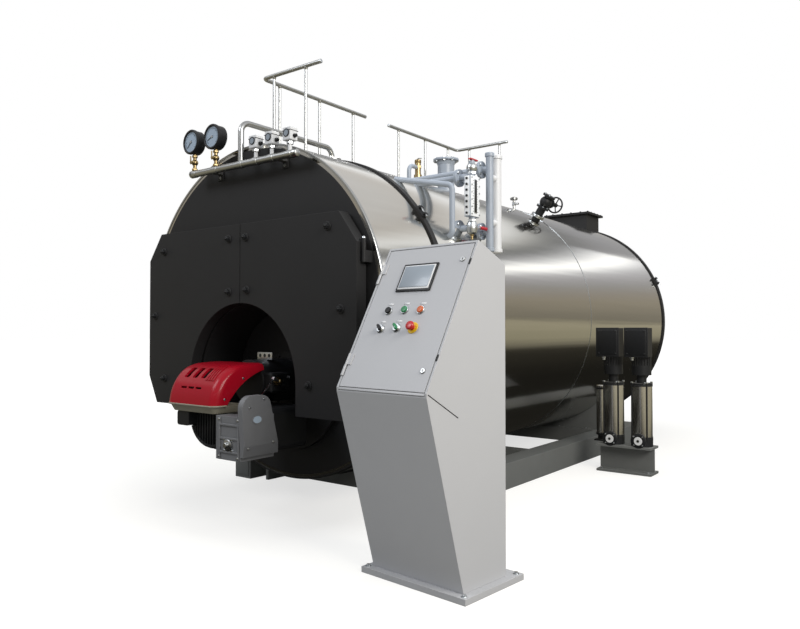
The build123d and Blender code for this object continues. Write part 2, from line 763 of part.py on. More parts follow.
# Stop valve on a radial nozzle, with a handwheel on its stem
valve_place = Pos(0, at(valve_y), axis_height) * Rot(0, valve_angle, 0)
valve = rod_z(valve_nozzle, 0, 0, 0, shell_radius + valve_reach + valve_flange)
for height in (valve_nozzle, valve_reach - valve_body_radius, valve_reach + valve_flange):
    flange_z = shell_radius + height
    valve += rod_z(valve_flange, 0, 0, flange_z - stem_radius, flange_z + stem_radius)
valve += Pos(0, 0, shell_radius + valve_reach) * Sphere(valve_body_radius)
valve += rod_y(valve_nozzle * 0.8, 0, 0, stem_length * 0.55, shell_radius + valve_reach)
valve += rod_y(stem_radius, 0, 0, stem_length + wheel_hub * 1.5, shell_radius + valve_reach)
pieces["stop_valve"] = single(valve_place * valve - shell_form)
wheel = Rot(90, 0, 0) * Torus(wheel_radius, wheel_rim)
wheel += rod_y(wheel_hub, 0, -wheel_hub, wheel_hub, 0)
for number in range(spoke_count):
    spoke = Rot(0, number * 360 / spoke_count, 0) * rod_z(wheel_rim * 0.7, 0, 0, wheel_hub / 2, wheel_radius)
    wheel += spoke
wheel -= rod_y(stem_radius + fit_gap, 0, -wheel_hub * 2, wheel_hub * 2, 0)
wheel_place = valve_place * Pos(0, stem_length, shell_radius + valve_reach)
pieces["stop_wheel"] = wheel_place * wheel

# Feed pumps on an I-beam stand
stand_face = Rectangle(stand_width, stand_height)
side_void = Rectangle((stand_width - stand_web) / 2, stand_height - 2 * stand_flange)
void_shift = (stand_width + stand_web) / 4
stand_face -= Pos(void_shift, 0) * side_void
stand_face -= Pos(-void_shift, 0) * side_void
stand_centre = at(stand_front + stand_width / 2)
pieces["pump_stand"] = side_view(Pos(stand_centre, stand_height / 2) * stand_face, stand_left,
                                 stand_right - stand_left)
for number, x in enumerate(pump_positions, start=1):
    name = "pump_" + str(number)
    base_top = stand_height + pump_base_height
    barrel_top = base_top + barrel_length
    foot = rod_z(pump_base_radius, x, stand_centre, stand_height, base_top)
    foot += rod_y(pump_port, x, stand_centre - stand_width / 2, stand_centre + stand_width / 2,
                  stand_height + pump_port)
    foot -= block(x - stand_width, x + stand_width, stand_centre - stand_width, stand_centre + stand_width,
                  base_top, base_top + pump_port)
    pieces[name + "_base"] = foot
    pieces[name + "_barrel"] = rod_z(barrel_radius, x, stand_centre, base_top, barrel_top)
    motor_foot = barrel_top + lantern_length
    pump_motor_top = motor_foot + pump_motor_length
    motor = rod_z(lantern_radius, x, stand_centre, barrel_top, motor_foot)
    motor += rod_z(pump_base_radius, x, stand_centre, barrel_top, barrel_top + pump_flange_thickness)
    motor += rod_z(pump_motor_radius, x, stand_centre, motor_foot, pump_motor_top)
    for fin in range(pump_fin_count):
        groove = Pos(pump_motor_radius, 0, motor_foot + pump_motor_length / 2)
        groove = groove * Box(2 * pump_fin_height, pump_fin_width, pump_motor_length - 2 * pump_motor_radius)
        motor -= Pos(x, stand_centre, 0) * Rot(0, 0, fin * 360 / pump_fin_count) * groove
    box_front = stand_centre - pump_motor_radius - terminal_depth / 2
    motor += block(x - terminal_size / 2, x + terminal_size / 2, box_front, box_front + terminal_depth,
                   pump_motor_top - terminal_height, pump_motor_top)
    pieces[name + "_motor"] = motor

# Control console, drawn from the foot of its left front corner and then turned into place
console_place = Pos(console_x, at(console_y), 0) * Rot(0, 0, console_turn)
console_points = ((0, console_plinth), (lip_y, lip_z - lip_drop), (lip_y, lip_z), (ridge_y, ridge_z),
                  (rear_y, rear_top_z), (rear_y, console_plinth))
console_face = outline(*console_points)
console = side_view(console_face, 0, console_width)
room = side_view(offset(console_face, -console_wall), console_wall, console_width - 2 * console_wall)
console -= room
slope = Vector(0, ridge_y - lip_y, ridge_z - lip_z)
slope_length = slope.length
panel_plane = Plane((0, lip_y, lip_z), (1, 0, 0), Vector(1, 0, 0).cross(slope))


def on_panel(u0, u1, v0, v1, n0, n1):
    """Block in the slope's own frame: u to the right, v up the slope, n outwards."""
    return panel_plane * block(u0, u1, v0, v1, n0, n1)


console -= on_panel(panel_rim, console_width - panel_rim, -panel_rim, slope_length - panel_rim,
                    -panel_thickness - panel_gap, 2 * panel_rim)
console += on_panel(panel_rim, console_width - panel_rim, 0, slope_length - panel_rim,
                    -panel_thickness - panel_gap - console_wall, -panel_thickness - panel_gap)
console -= on_panel(panel_rim + panel_ledge, console_width - panel_rim - panel_ledge, panel_ledge * 2,
                    slope_length - panel_rim - panel_ledge, -panel_thickness * 4, 0)
panel_left = panel_rim + panel_gap
panel_right = console_width - panel_rim - panel_gap
panel_low = panel_gap
panel_high = slope_length - panel_rim - panel_gap
panel = on_panel(panel_left, panel_right, panel_low, panel_high, -panel_thickness, 0)
hinge_u = panel_rim
hinge_n = panel_hinge_radius
for share in (0.15, 0.8):
    hinge_v = slope_length * share
    leaf = on_panel(hinge_u, panel_left + panel_ledge, hinge_v, hinge_v + panel_hinge_length, 0, hinge_n)
    barrel_plane = panel_plane * Pos(hinge_u, hinge_v, hinge_n) * Rot(-90, 0, 0)
    door_barrel = barrel_plane * Pos(0, 0, panel_hinge_length / 2)
    panel += leaf
    panel += door_barrel * Cylinder(panel_hinge_radius, panel_hinge_length)
    body_barrel = barrel_plane * Pos(0, 0, -panel_hinge_length / 2 - fit_gap)
    console += body_barrel * Cylinder(panel_hinge_radius, panel_hinge_length)
    console += on_panel(0, hinge_u, hinge_v - panel_hinge_length - fit_gap, hinge_v - fit_gap, -hinge_n,
                        hinge_n)
pieces["console_body"] = console_place * single(console)
pieces["console_panel"] = console_place * panel
plinth = block(-plinth_margin, console_width + plinth_margin, -plinth_margin, rear_y + 2 * plinth_margin,
               0, console_plinth)
pieces["console_plinth"] = console_place * plinth

os.makedirs("parts", exist_ok=True)
for name, shape in pieces.items():
    shape.label = name
    export_step(shape, "parts/" + name + ".step")
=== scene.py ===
"""Steam boiler with burner, feed pumps and console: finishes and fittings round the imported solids."""

import math

import bmesh
import bpy
from bpy.props import FloatProperty, FloatVectorProperty, IntProperty, PointerProperty
from mathutils import Matrix, Vector
from mathutils.bvhtree import BVHTree


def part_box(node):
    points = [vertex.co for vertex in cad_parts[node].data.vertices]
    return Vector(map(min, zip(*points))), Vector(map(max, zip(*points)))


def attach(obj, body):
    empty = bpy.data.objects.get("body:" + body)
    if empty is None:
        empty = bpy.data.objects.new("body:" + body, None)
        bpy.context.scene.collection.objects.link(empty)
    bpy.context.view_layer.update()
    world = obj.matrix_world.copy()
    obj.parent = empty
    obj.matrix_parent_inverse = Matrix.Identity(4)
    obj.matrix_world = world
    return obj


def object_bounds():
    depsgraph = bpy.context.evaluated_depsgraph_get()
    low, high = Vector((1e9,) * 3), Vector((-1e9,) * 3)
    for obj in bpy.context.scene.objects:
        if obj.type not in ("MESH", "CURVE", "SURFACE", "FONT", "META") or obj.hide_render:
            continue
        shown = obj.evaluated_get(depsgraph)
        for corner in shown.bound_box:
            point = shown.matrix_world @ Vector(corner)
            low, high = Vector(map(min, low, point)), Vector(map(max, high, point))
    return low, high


bl_info = {
    "name": "Steam Boiler Fittings",
    "version": (1, 0, 0),
    "blender": (4, 5, 0),
    "location": "View3D > Sidebar > Boiler",
    "description": "Dresses a packaged steam boiler with its finishes, fittings and studio",
    "category": "Add Mesh",
}

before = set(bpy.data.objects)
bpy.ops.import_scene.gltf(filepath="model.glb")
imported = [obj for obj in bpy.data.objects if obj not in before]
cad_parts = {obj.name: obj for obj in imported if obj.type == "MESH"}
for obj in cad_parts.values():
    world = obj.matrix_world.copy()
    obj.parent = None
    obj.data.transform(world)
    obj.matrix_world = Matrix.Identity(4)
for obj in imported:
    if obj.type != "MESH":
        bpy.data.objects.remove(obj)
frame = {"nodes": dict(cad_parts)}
CAD_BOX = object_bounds()
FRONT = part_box("front_jacket")[0].y
SHELL_LOW, SHELL_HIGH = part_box("main_jacket")
RADIUS = (SHELL_HIGH.x - SHELL_LOW.x) / 2
AXIS_Z = (SHELL_HIGH.z + SHELL_LOW.z) / 2
DOOR_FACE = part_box("right_door")[0].y
X, Y, Z = Vector((1, 0, 0)), Vector((0, 1, 0)), Vector((0, 0, 1))
finish = {}

# Heights that the solids keep, as shares of the shell's radius above its axis
FURNACE_Z = AXIS_Z - RADIUS * 0.389
HINGE_SHARES = (-0.265, 0.316)
LEVEL_ARM_Z = AXIS_Z + RADIUS * 0.5427
LEVEL_GLASS_Z = (AXIS_Z + RADIUS * 0.607, AXIS_Z + RADIUS * 0.861)
LEVEL_TOP_SHARES = (0.8615, 0.9385)

# Sizes and places that the solids keep, in metres and degrees; y counts from the jacket's front edge
HINGE_RADIUS, HINGE_LENGTH = 0.014, 0.070
FAN_MOUTH_Y = -0.330
HEAD_RADIUS = 0.150
BURNER_FLANGE_Y = 0.314
MANIFOLD_BRANCHES = (-0.504, -0.267, 0.0, 0.151, 0.306, 0.474)
MANIFOLD_BRACKETS = (-0.330, 0.330)
RAIL_RADIUS, RAIL_X = 0.015, -0.300
RAIL_POSTS = {
    "front_rail": ((-0.180, 0.365), (0.150, 0.365), (RAIL_X, 0.533), (RAIL_X, 0.977), (RAIL_X, 1.397)),
    "rear_rail": ((-0.150, 3.075), (0.210, 3.075), (RAIL_X, 2.05275), (RAIL_X, 2.4875), (RAIL_X, 2.89875)),
}
STOP_VALVE_ANGLE = 34.5
COLUMN_RADIUS = {"grey_column": 0.028, "white_column": 0.036}

# The console's own frame: its turn, its front left foot, and the ends of its slope as (depth, height)
CONSOLE_TURN = math.radians(-5.8)
CONSOLE_FOOT = Vector((1.414, FRONT - 0.400, 0))
CONSOLE_WIDTH, SLOPE_LENGTH = 0.586, 0.8058
LIP, RIDGE = (-0.259, 0.969), (0.122, 1.679)

# Clamp nuts of the doors: x and height in millimetres
CLAMPS = {
    "left_door": ((-118, 1872), (-115, 1508), (-856, 1831), (-965, 1353), (-845, 890)),
    "right_door": ((57, 1871), (70, 1515), (807, 1879), (914, 1373), (650, 903)),
}

# Which finish each solid wears
LAID = {
    "rolled_stainless_sheet": ("front_jacket", "main_jacket"),
    "black_plate_paint": ("front_band", "rear_band", "smokebox_frame", "smokebox_arch", "tube_plate",
                          "rear_plate", "rear_chamber", "flue_box", "burner_plate", "left_door",
                          "right_door"),
    "grey_machine_enamel": ("left_beam", "right_beam", "front_cross_member", "middle_cross_member",
                            "rear_cross_member", "front_saddle", "rear_saddle", "pump_stand"),
    "black_cast_paint": ("burner_head", "burner_scroll", "burner_motor", "stop_valve", "stop_wheel",
                         "pump_1_base", "pump_2_base", "pump_1_motor", "pump_2_motor", "left_gauge",
                         "right_gauge"),
    "red_hood_lacquer": ("burner_hood",),
    "grey_cast_paint": ("air_intake", "damper_cover"),
    "olive_tray_paint": ("burner_tray",),
    "drawn_steel_tube": ("manifold", "siphon_pipe", "front_rail", "rear_rail", "vent_valve"),
    "cast_brass": ("left_gauge_cock", "right_gauge_cock", "safety_valve"),
    "white_moulding": ("pressure_switch_1", "pressure_switch_2", "pressure_switch_3", "white_column"),
    "blue_grey_valve_paint": ("steam_nozzle", "safety_nozzle", "safety_outlet", "standpipe", "grey_column",
                              "level_gauge"),
    "polished_sleeve": ("pump_1_barrel", "pump_2_barrel"),
    "console_powder_coat": ("console_body", "console_panel", "console_plinth"),
}

# Glowing sky that only mirrors see and that gives no light to matt surfaces: painted reflections of a hall,
# with painted highlight strips on the jacket and other metals; (degrees above the horizon, colour), from low
# to high
LOW_SKY = ((-3, "#5C594E"), (0, "#666258"), (4, "#726D62"), (8, "#7D776B"), (11, "#7F7A73"), (14, "#848382"))
LIGHT_STRIP = ((16.5, "#919093"), (18.5, "#A5A5A8"), (19.8, "#DCDDE0"), (20.5, "#FFFFFF"),
               (21.6, "#FFFFFF"), (22.4, "#D8D9DC"), (23.4, "#B4B5B8"), (24.5, "#8C8D90"))
PLAIN_STRIP = ((20, "#7F7F81"), (22.5, "#7C7C7E"), (24, "#6C6C6D"))
HIGH_SKY = ((25.8, "#656667"), (27, "#6F7070"), (28.5, "#A0A09E"), (30.5, "#D2D3D5"), (33, "#BCBBBA"),
            (35.5, "#A8A5A2"), (41, "#AFAEAE"), (90, "#A0A0A0"))
# Glowing floor sheet under the shell that only mirrors see: a painted reflection of the hall floor, with
# painted shadow, dark near the middle line under the shell; (metres from the middle line, colour)
SHADED_MIRROR_FLOOR = ((1.6, "#1A1916"), (3.1, "#2E2C26"), (3.6, "#6C685B"), (4.6, "#8B8672"), (14.0, "#98927E"))
# Sky and ground sheets: sizes and heights in metres, step and foot in degrees, strength of the glow
SKY_RADIUS, SKY_STEP, SKY_FOOT, SKY_GLOW = 200, 3, -3, 1.9
FLOOR_HALF, MIRROR_FLOOR_GLOW = 80, 1.5
MIRROR_FLOOR_LIFT, FLOOR_DROP = -0.0005, -0.001

# Lamps: place, aim, size, power in watts, colour, and whether mirrors show them
LAMPS = {
    "overhead_box": ((0.5, 0.0, 8.0), (0, 0, 1), (5.0, 9.0), 430, "#F6FAFF", False),
    "right_box": ((8.0, -4.0, 5.0), (0.5, -0.5, 1.2), (5.0, 3.0), 570, "#FFFBF4", True),
    "front_box": ((-3.0, -8.5, 7.0), (0, -2.5, 1.2), (4.0, 3.0), 280, "#F4F8FF", True),
}
# Camera: place and reach in metres, tilt and heading in degrees, lens and sensor in millimetres
CAMERA_PLACE, CAMERA_TILT, CAMERA_HEADING = (3.7585, -5.8957, 1.25), 91.2258, 37.2841
CAMERA_LENS, CAMERA_SENSOR, CAMERA_REACH = 31.918, 36.0, 200


def linear(code):
    """Linear RGB of an sRGB hex colour."""
    parts = [int(code[i:i + 2], 16) / 255 for i in (1, 3, 5)]
    return tuple(p / 12.92 if p <= 0.04045 else ((p + 0.055) / 1.055) ** 2.4 for p in parts)


def tint(name, code, text):
    """Colour property with an sRGB hex default."""
    return FloatVectorProperty(name=name, description=text, subtype="COLOR", size=3, min=0, max=1,
                               default=linear(code))


def length(name, value, text):
    """Length property in metres."""
    return FloatProperty(name=name, description=text, subtype="DISTANCE", unit="LENGTH", min=0.0005,
                         default=value)


class BoilerColours(bpy.types.PropertyGroup):
    """Colours of the finishes."""

    jacket: tint("Jacket", "#C9C7C1", "Bright-rolled stainless sheet round the shell")
    front: tint("Front plates", "#272728", "Satin black paint on the smokebox, doors and flue box")
    frame: tint("Frame", "#6B6D6C", "Grey machine enamel on the base frame and pump stand")
    hood: tint("Burner hood", "#9E0D20", "Glossy red of the moulded burner hood")
    casting: tint("Burner castings", "#6E6F72", "Grey painted aluminium castings of the burner")
    fittings: tint("Fittings", "#9AA3AF", "Blue-grey paint on valves, flanges and level pipes")
    pipes: tint("Pipes", "#AEB0B0", "Bare steel of the rails and instrument pipes")
    console: tint("Console", "#B3B4B7", "Powder coat of the console")
    brass: tint("Brass", "#A8946C", "Cast brass of the cocks and the safety valve")
    handle: tint("Handles", "#B3202C", "Red dip coat on the cock handles")


class BoilerSizes(bpy.types.PropertyGroup):
    """Sizes of the added fittings."""

    clamp: length("Door clamp", 0.019, "Radius of a door clamp nut across its corners")
    bolt: length("Flange bolt", 0.011, "Radius of a flange bolt head across its corners")
    screw: length("Screw", 0.007, "Radius of a small cover screw")
    trim: length("Jacket trim", 0.016, "Width of the bright strip round the front edge of the jacket")
    seam: length("Jacket seam", 0.012, "Width of a lap seam round the jacket")
    tick: length("Dial tick", 0.0022, "Width of a tick on a gauge dial")
    foot: length("Rail foot", 0.034, "Radius of the foot under a rail post")
    button: length("Button", 0.018, "Radius of a console push button")
    ticks: IntProperty(name="Dial ticks", description="Ticks round a gauge dial", default=31, min=5, max=61)
    sheet: length("Jacket sheet", 2.43, "Width of the jacket sheets between the front band and the lap seam")


def upright(x, y, z):
    """Matrix at a place, not turned."""
    return Matrix.Translation((x, y, z))


def moved(place, x=0.0, y=0.0, z=0.0):
    """Matrix moved along its own axes."""
    return place @ Matrix.Translation((x, y, z))


def spun(place, angle):
    """Matrix turned by degrees about its own Z."""
    return place @ Matrix.Rotation(math.radians(angle), 4, "Z")


def facing(place, way, up=Z):
    """Matrix at a place whose own Z looks the given way and whose Y leans to up."""
    out = Vector(way).normalized()
    side = Vector(up).cross(out)
    if side.length < 1e-4:
        side = X.cross(out)
    side.normalize()
    turn = Matrix((side, out.cross(side), out)).transposed().to_4x4()
    return Matrix.Translation(place) @ turn


def on_jacket(y, angle, lift=0.0):
    """Place on the jacket at a distance behind its front edge, by the angle from the top to the right."""
    turn = math.radians(angle)
    out = Vector((math.sin(turn), 0, math.cos(turn)))
    return Vector((0, FRONT + y, AXIS_Z)) + out * (RADIUS + lift), out


def console_point(u, depth, height):
    """Place in the console's own frame: u to the right, depth to the rear, from its front left foot."""
    return CONSOLE_FOOT + Matrix.Rotation(CONSOLE_TURN, 3, "Z") @ Vector((u, depth, height))


def on_panel(u, v, lift=0.0):
    """Matrix on the sloping panel: X to the right, Y up the slope, Z outwards."""
    rise = Vector((0, RIDGE[0] - LIP[0], RIDGE[1] - LIP[1])).normalized()
    turn = Matrix.Rotation(CONSOLE_TURN, 3, "Z")
    right, up = turn @ X, turn @ rise
    place = console_point(0, LIP[0], LIP[1]) + right * u + up * v
    lay = Matrix((right, up, right.cross(up))).transposed().to_4x4()
    return moved(Matrix.Translation(place) @ lay, z=lift)


def hit(node, start, way):
    """Place and outward direction where a line from start meets a solid."""
    mesh = frame["nodes"][node].data
    tree = BVHTree.FromPolygons([corner.co for corner in mesh.vertices],
                                [face.vertices for face in mesh.polygons])
    place, out = tree.ray_cast(start, way)[:2]
    if place is None:
        raise RuntimeError("no surface of " + node + " there")
    return place, out if out.dot(way) < 0 else -out


class Fitting:
    """One mesh put together from turned, flat and bent shapes, each with its own finish."""

    def __init__(self):
        self.mesh = bmesh.new()
        self.used = []

    def turned(self, profile, place, name, steps=24, start=0.0, end=360.0, loop=False):
        """Profile of (radius, height) turned about the place's Z; an arc when start and end ask for one."""
        whole = abs(end - start) >= 359.99
        count = steps if whole else steps + 1
        faces = []
        rings = []
        for radius, height in profile:
            if radius < 1e-6:
                rings.append([self.mesh.verts.new(place @ Vector((0, 0, height)))])
                continue
            ring = []
            for step in range(count):
                angle = math.radians(start + (end - start) * step / steps)
                ring.append(self.mesh.verts.new(
                    place @ Vector((radius * math.cos(angle), radius * math.sin(angle), height))))
            rings.append(ring)
        pairs = list(zip(rings, rings[1:] + rings[:1])) if loop else list(zip(rings, rings[1:]))
        for low, high in pairs:
            for step in range(steps):
                nearby = (step + 1) % count
                corners = [low[min(step, len(low) - 1)], low[min(nearby, len(low) - 1)],
                           high[min(nearby, len(high) - 1)], high[min(step, len(high) - 1)]]
                corners = list(dict.fromkeys(corners))
                if len(corners) > 2:
                    faces.append(self.mesh.faces.new(corners))
        if loop and not whole:
            faces.append(self.mesh.faces.new([ring[0] for ring in rings]))
            faces.append(self.mesh.faces.new([ring[-1] for ring in reversed(rings)]))
        self.paint(faces, name)

    def collar(self, place, inner, outer, low, tall, edge, name, steps):
        """Band round a stem, from a height up, with both edges sloped."""
        self.turned([(inner, low), (outer, low + edge), (outer, low + tall - edge), (inner, low + tall)],
                    place, name, steps)

    def plug(self, place, wide, top, low, step, tall, name, steps):
        """Round plug from a height up, drawn in from wide to top above its step."""
        self.turned([(wide, low), (wide, step), (top, tall), (0, tall)], place, name, steps)

    def gland(self, place, wide, slim, low, name, steps):
        """Cable gland or plugged stub: a wide foot and a slim neck."""
        self.turned([(wide, low), (wide, 0.012), (slim, 0.016), (slim, 0.03), (0, 0.03)], place, name, steps)

    def plate(self, size, place, name, edge=0.0015):
        """Block of a size about the place, with rounded edges."""
        made = bmesh.ops.create_cube(self.mesh, size=1.0, matrix=place @ Matrix.Diagonal((*size, 1)))
        corners = made["verts"]
        faces = list({face for corner in corners for face in corner.link_faces})
        if edge > 0:
            edges = list({side for corner in corners for side in corner.link_edges})
            made = bmesh.ops.bevel(self.mesh, geom=edges, offset=edge, segments=2, affect="EDGES",
                                   profile=0.6, clamp_overlap=True)
            faces = list({face for corner in made["verts"] for face in corner.link_faces})
        self.paint(faces, name)

    def bar(self, points, radius, name, steps=12):
        """Round bar along a line of points."""
        points = [Vector(point) for point in points]
        rings = []
        side = None
        for number, point in enumerate(points):
            ahead = points[min(number + 1, len(points) - 1)] - points[max(number - 1, 0)]
            ahead.normalize()
            if side is None:
                side = ahead.orthogonal().normalized()
            side = (side - ahead * side.dot(ahead)).normalized()
            other = ahead.cross(side)
            rings.append([self.mesh.verts.new(
                point + radius * (side * math.cos(2 * math.pi * k / steps)
                                  + other * math.sin(2 * math.pi * k / steps))) for k in range(steps)])
        faces = []
        for low, high in zip(rings, rings[1:]):
            for k in range(steps):
                nearby = (k + 1) % steps
                faces.append(self.mesh.faces.new((low[k], low[nearby], high[nearby], high[k])))
        faces.append(self.mesh.faces.new(list(reversed(rings[0]))))
        faces.append(self.mesh.faces.new(rings[-1]))
        self.paint(faces, name)

    def bolt(self, place, radius, name, washer=True):
        """Hexagon head on a washer, standing on the place's XY plane."""
        tall = radius * 0.75
        if washer:
            self.turned([(0, 0), (radius * 1.35, 0), (radius * 1.35, tall * 0.25), (0, tall * 0.25)], place,
                        name, 16)
        self.turned([(0, 0), (radius, 0), (radius, tall * 1.15), (radius * 0.86, tall * 1.3),
                     (0, tall * 1.3)], place, name, 6)

    def bolts(self, place, radius, count, size, name, shift=0.0):
        """Bolts in a circle on the XY plane of the place."""
        for number in range(count):
            turn = Matrix.Rotation(2 * math.pi * number / count + math.radians(shift), 4, "Z")
            self.bolt(moved(place @ turn, radius), size, name)

    def screw(self, place, radius, name):
        """Low domed screw head with a rounded edge."""
        self.turned([(radius, 0), (radius, radius * 0.3), (radius * 0.8, radius * 0.55),
                     (radius * 0.35, radius * 0.65), (0, radius * 0.62)], place, name, 14)

    def paint(self, faces, name):
        """Gives new faces their finish."""
        if name not in self.used:
            self.used.append(name)
        number = self.used.index(name)
        for face in faces:
            if face.is_valid:
                face.material_index = number
                face.smooth = True

    def piece(self, name, body):
        """Makes the object with the finishes of its faces and rides it on its body."""
        bmesh.ops.recalc_face_normals(self.mesh, faces=self.mesh.faces)
        data = bpy.data.meshes.new(name)
        self.mesh.to_mesh(data)
        self.mesh.free()
        for used in self.used:
            data.materials.append(finish[used])
        data.set_sharp_from_angle(angle=math.radians(34))
        made = bpy.data.objects.new(name, data)
        bpy.context.scene.collection.objects.link(made)
        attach(made, body)
        return made


def put(tree, kind, values=None, **settings):
    """Adds a node with its settings; a value that is a socket is linked, any other is set."""
    made = tree.nodes.new(kind)
    for key, value in settings.items():
        setattr(made, key, value)
    for socket, value in (values or {}).items():
        if isinstance(value, bpy.types.NodeSocket):
            tree.links.new(value, made.inputs[socket])
        else:
            made.inputs[socket].default_value = value
    return made


def surface(name, **values):
    """New material with a principled shader whose constant sockets are set."""
    made = bpy.data.materials.new(name)
    made.use_nodes = True
    tree = made.node_tree
    tree.nodes.clear()
    shader = put(tree, "ShaderNodeBsdfPrincipled")
    for socket, value in values.items():
        shader.inputs[socket.replace("_", " ")].default_value = value
    put(tree, "ShaderNodeOutputMaterial", {"Surface": shader.outputs["BSDF"]})
    finish[name] = made
    return tree, shader


def shade(colour, share):
    """Colour made darker or lighter by a share, with full alpha."""
    return tuple(min(1.0, part * share) for part in colour) + (1.0,)


def painted(name, colour, rough, peel, cloud=0.22, spread=0.08, rim=0.0, **values):
    """Sprayed or powder coated steel: soft cloudy tone, orange peel of the given size, rubbed rims.

    The eye sees an even colour with a slightly broken highlight and paler, thinner paint on sharp edges.
    Peel under 4 mm is too fine for the picture, so it is drawn at 4 mm.
    """
    tree, shader = surface(name, Roughness=rough, IOR=1.5, **values)
    where = put(tree, "ShaderNodeTexCoord").outputs["Object"]
    clouds = put(tree, "ShaderNodeTexNoise", {"Vector": where, "Scale": 1 / cloud, "Detail": 5.0,
                                              "Roughness": 0.62})
    tone = put(tree, "ShaderNodeMix", {"Factor": clouds.outputs["Fac"], 6: shade(colour, 1 - spread),
                                       7: shade(colour, 1 + spread)}, data_type="RGBA").outputs[2]
    rounded = put(tree, "ShaderNodeBevel", {"Radius": 0.004}, samples=4)
    if rim:
        true = put(tree, "ShaderNodeNewGeometry").outputs["True Normal"]
        level = put(tree, "ShaderNodeVectorMath", {0: rounded.outputs["Normal"], 1: true},
                    operation="DOT_PRODUCT").outputs["Value"]
        worn = put(tree, "ShaderNodeMapRange", {"Value": level, "From Min": 0.985, "From Max": 0.9,
                                                "To Min": 0.0, "To Max": rim}, clamp=True).outputs["Result"]
        tone = put(tree, "ShaderNodeMix", {"Factor": worn, 6: tone, 7: shade(colour, 2.4)},
                   data_type="RGBA").outputs[2]
    tree.links.new(tone, shader.inputs["Base Color"])
    grain = put(tree, "ShaderNodeTexNoise", {"Vector": where, "Scale": 1 / max(peel, 0.004), "Detail": 2.0})
    bump = put(tree, "ShaderNodeBump", {"Strength": 0.12, "Distance": 0.0006, "Height": grain.outputs["Fac"],
                                        "Normal": rounded.outputs["Normal"]})
    tree.links.new(bump.outputs["Normal"], shader.inputs["Normal"])


def bare_metal(name, colour, rough, grain, streak, spread=0.06, uneven=0.06):
    """Bare rolled, drawn, turned or cast metal: tone and gloss change in soft streaks or patches.

    streak is the size of a streak or patch along X, Y and Z in metres; where it is 0, grain stands in.
    """
    tree, shader = surface(name, Metallic=1.0)
    where = put(tree, "ShaderNodeTexCoord").outputs["Object"]
    scale = tuple(1 / (grain if part == 0 else part) for part in streak)
    drawn = put(tree, "ShaderNodeVectorMath", {0: where, 1: scale}, operation="MULTIPLY").outputs["Vector"]
    lines = put(tree, "ShaderNodeTexNoise", {"Vector": drawn, "Scale": 1.0, "Detail": 4.0,
                                             "Roughness": 0.55})
    tone = put(tree, "ShaderNodeMix", {"Factor": lines.outputs["Fac"], 6: shade(colour, 1 - spread),
                                       7: shade(colour, 1 + spread)}, data_type="RGBA").outputs[2]
    tree.links.new(tone, shader.inputs["Base Color"])
    gloss = put(tree, "ShaderNodeMapRange", {"Value": lines.outputs["Fac"], "To Min": rough - uneven / 2,
                                             "To Max": rough + uneven / 2}).outputs["Result"]
    tree.links.new(gloss, shader.inputs["Roughness"])
    return tree, shader, where


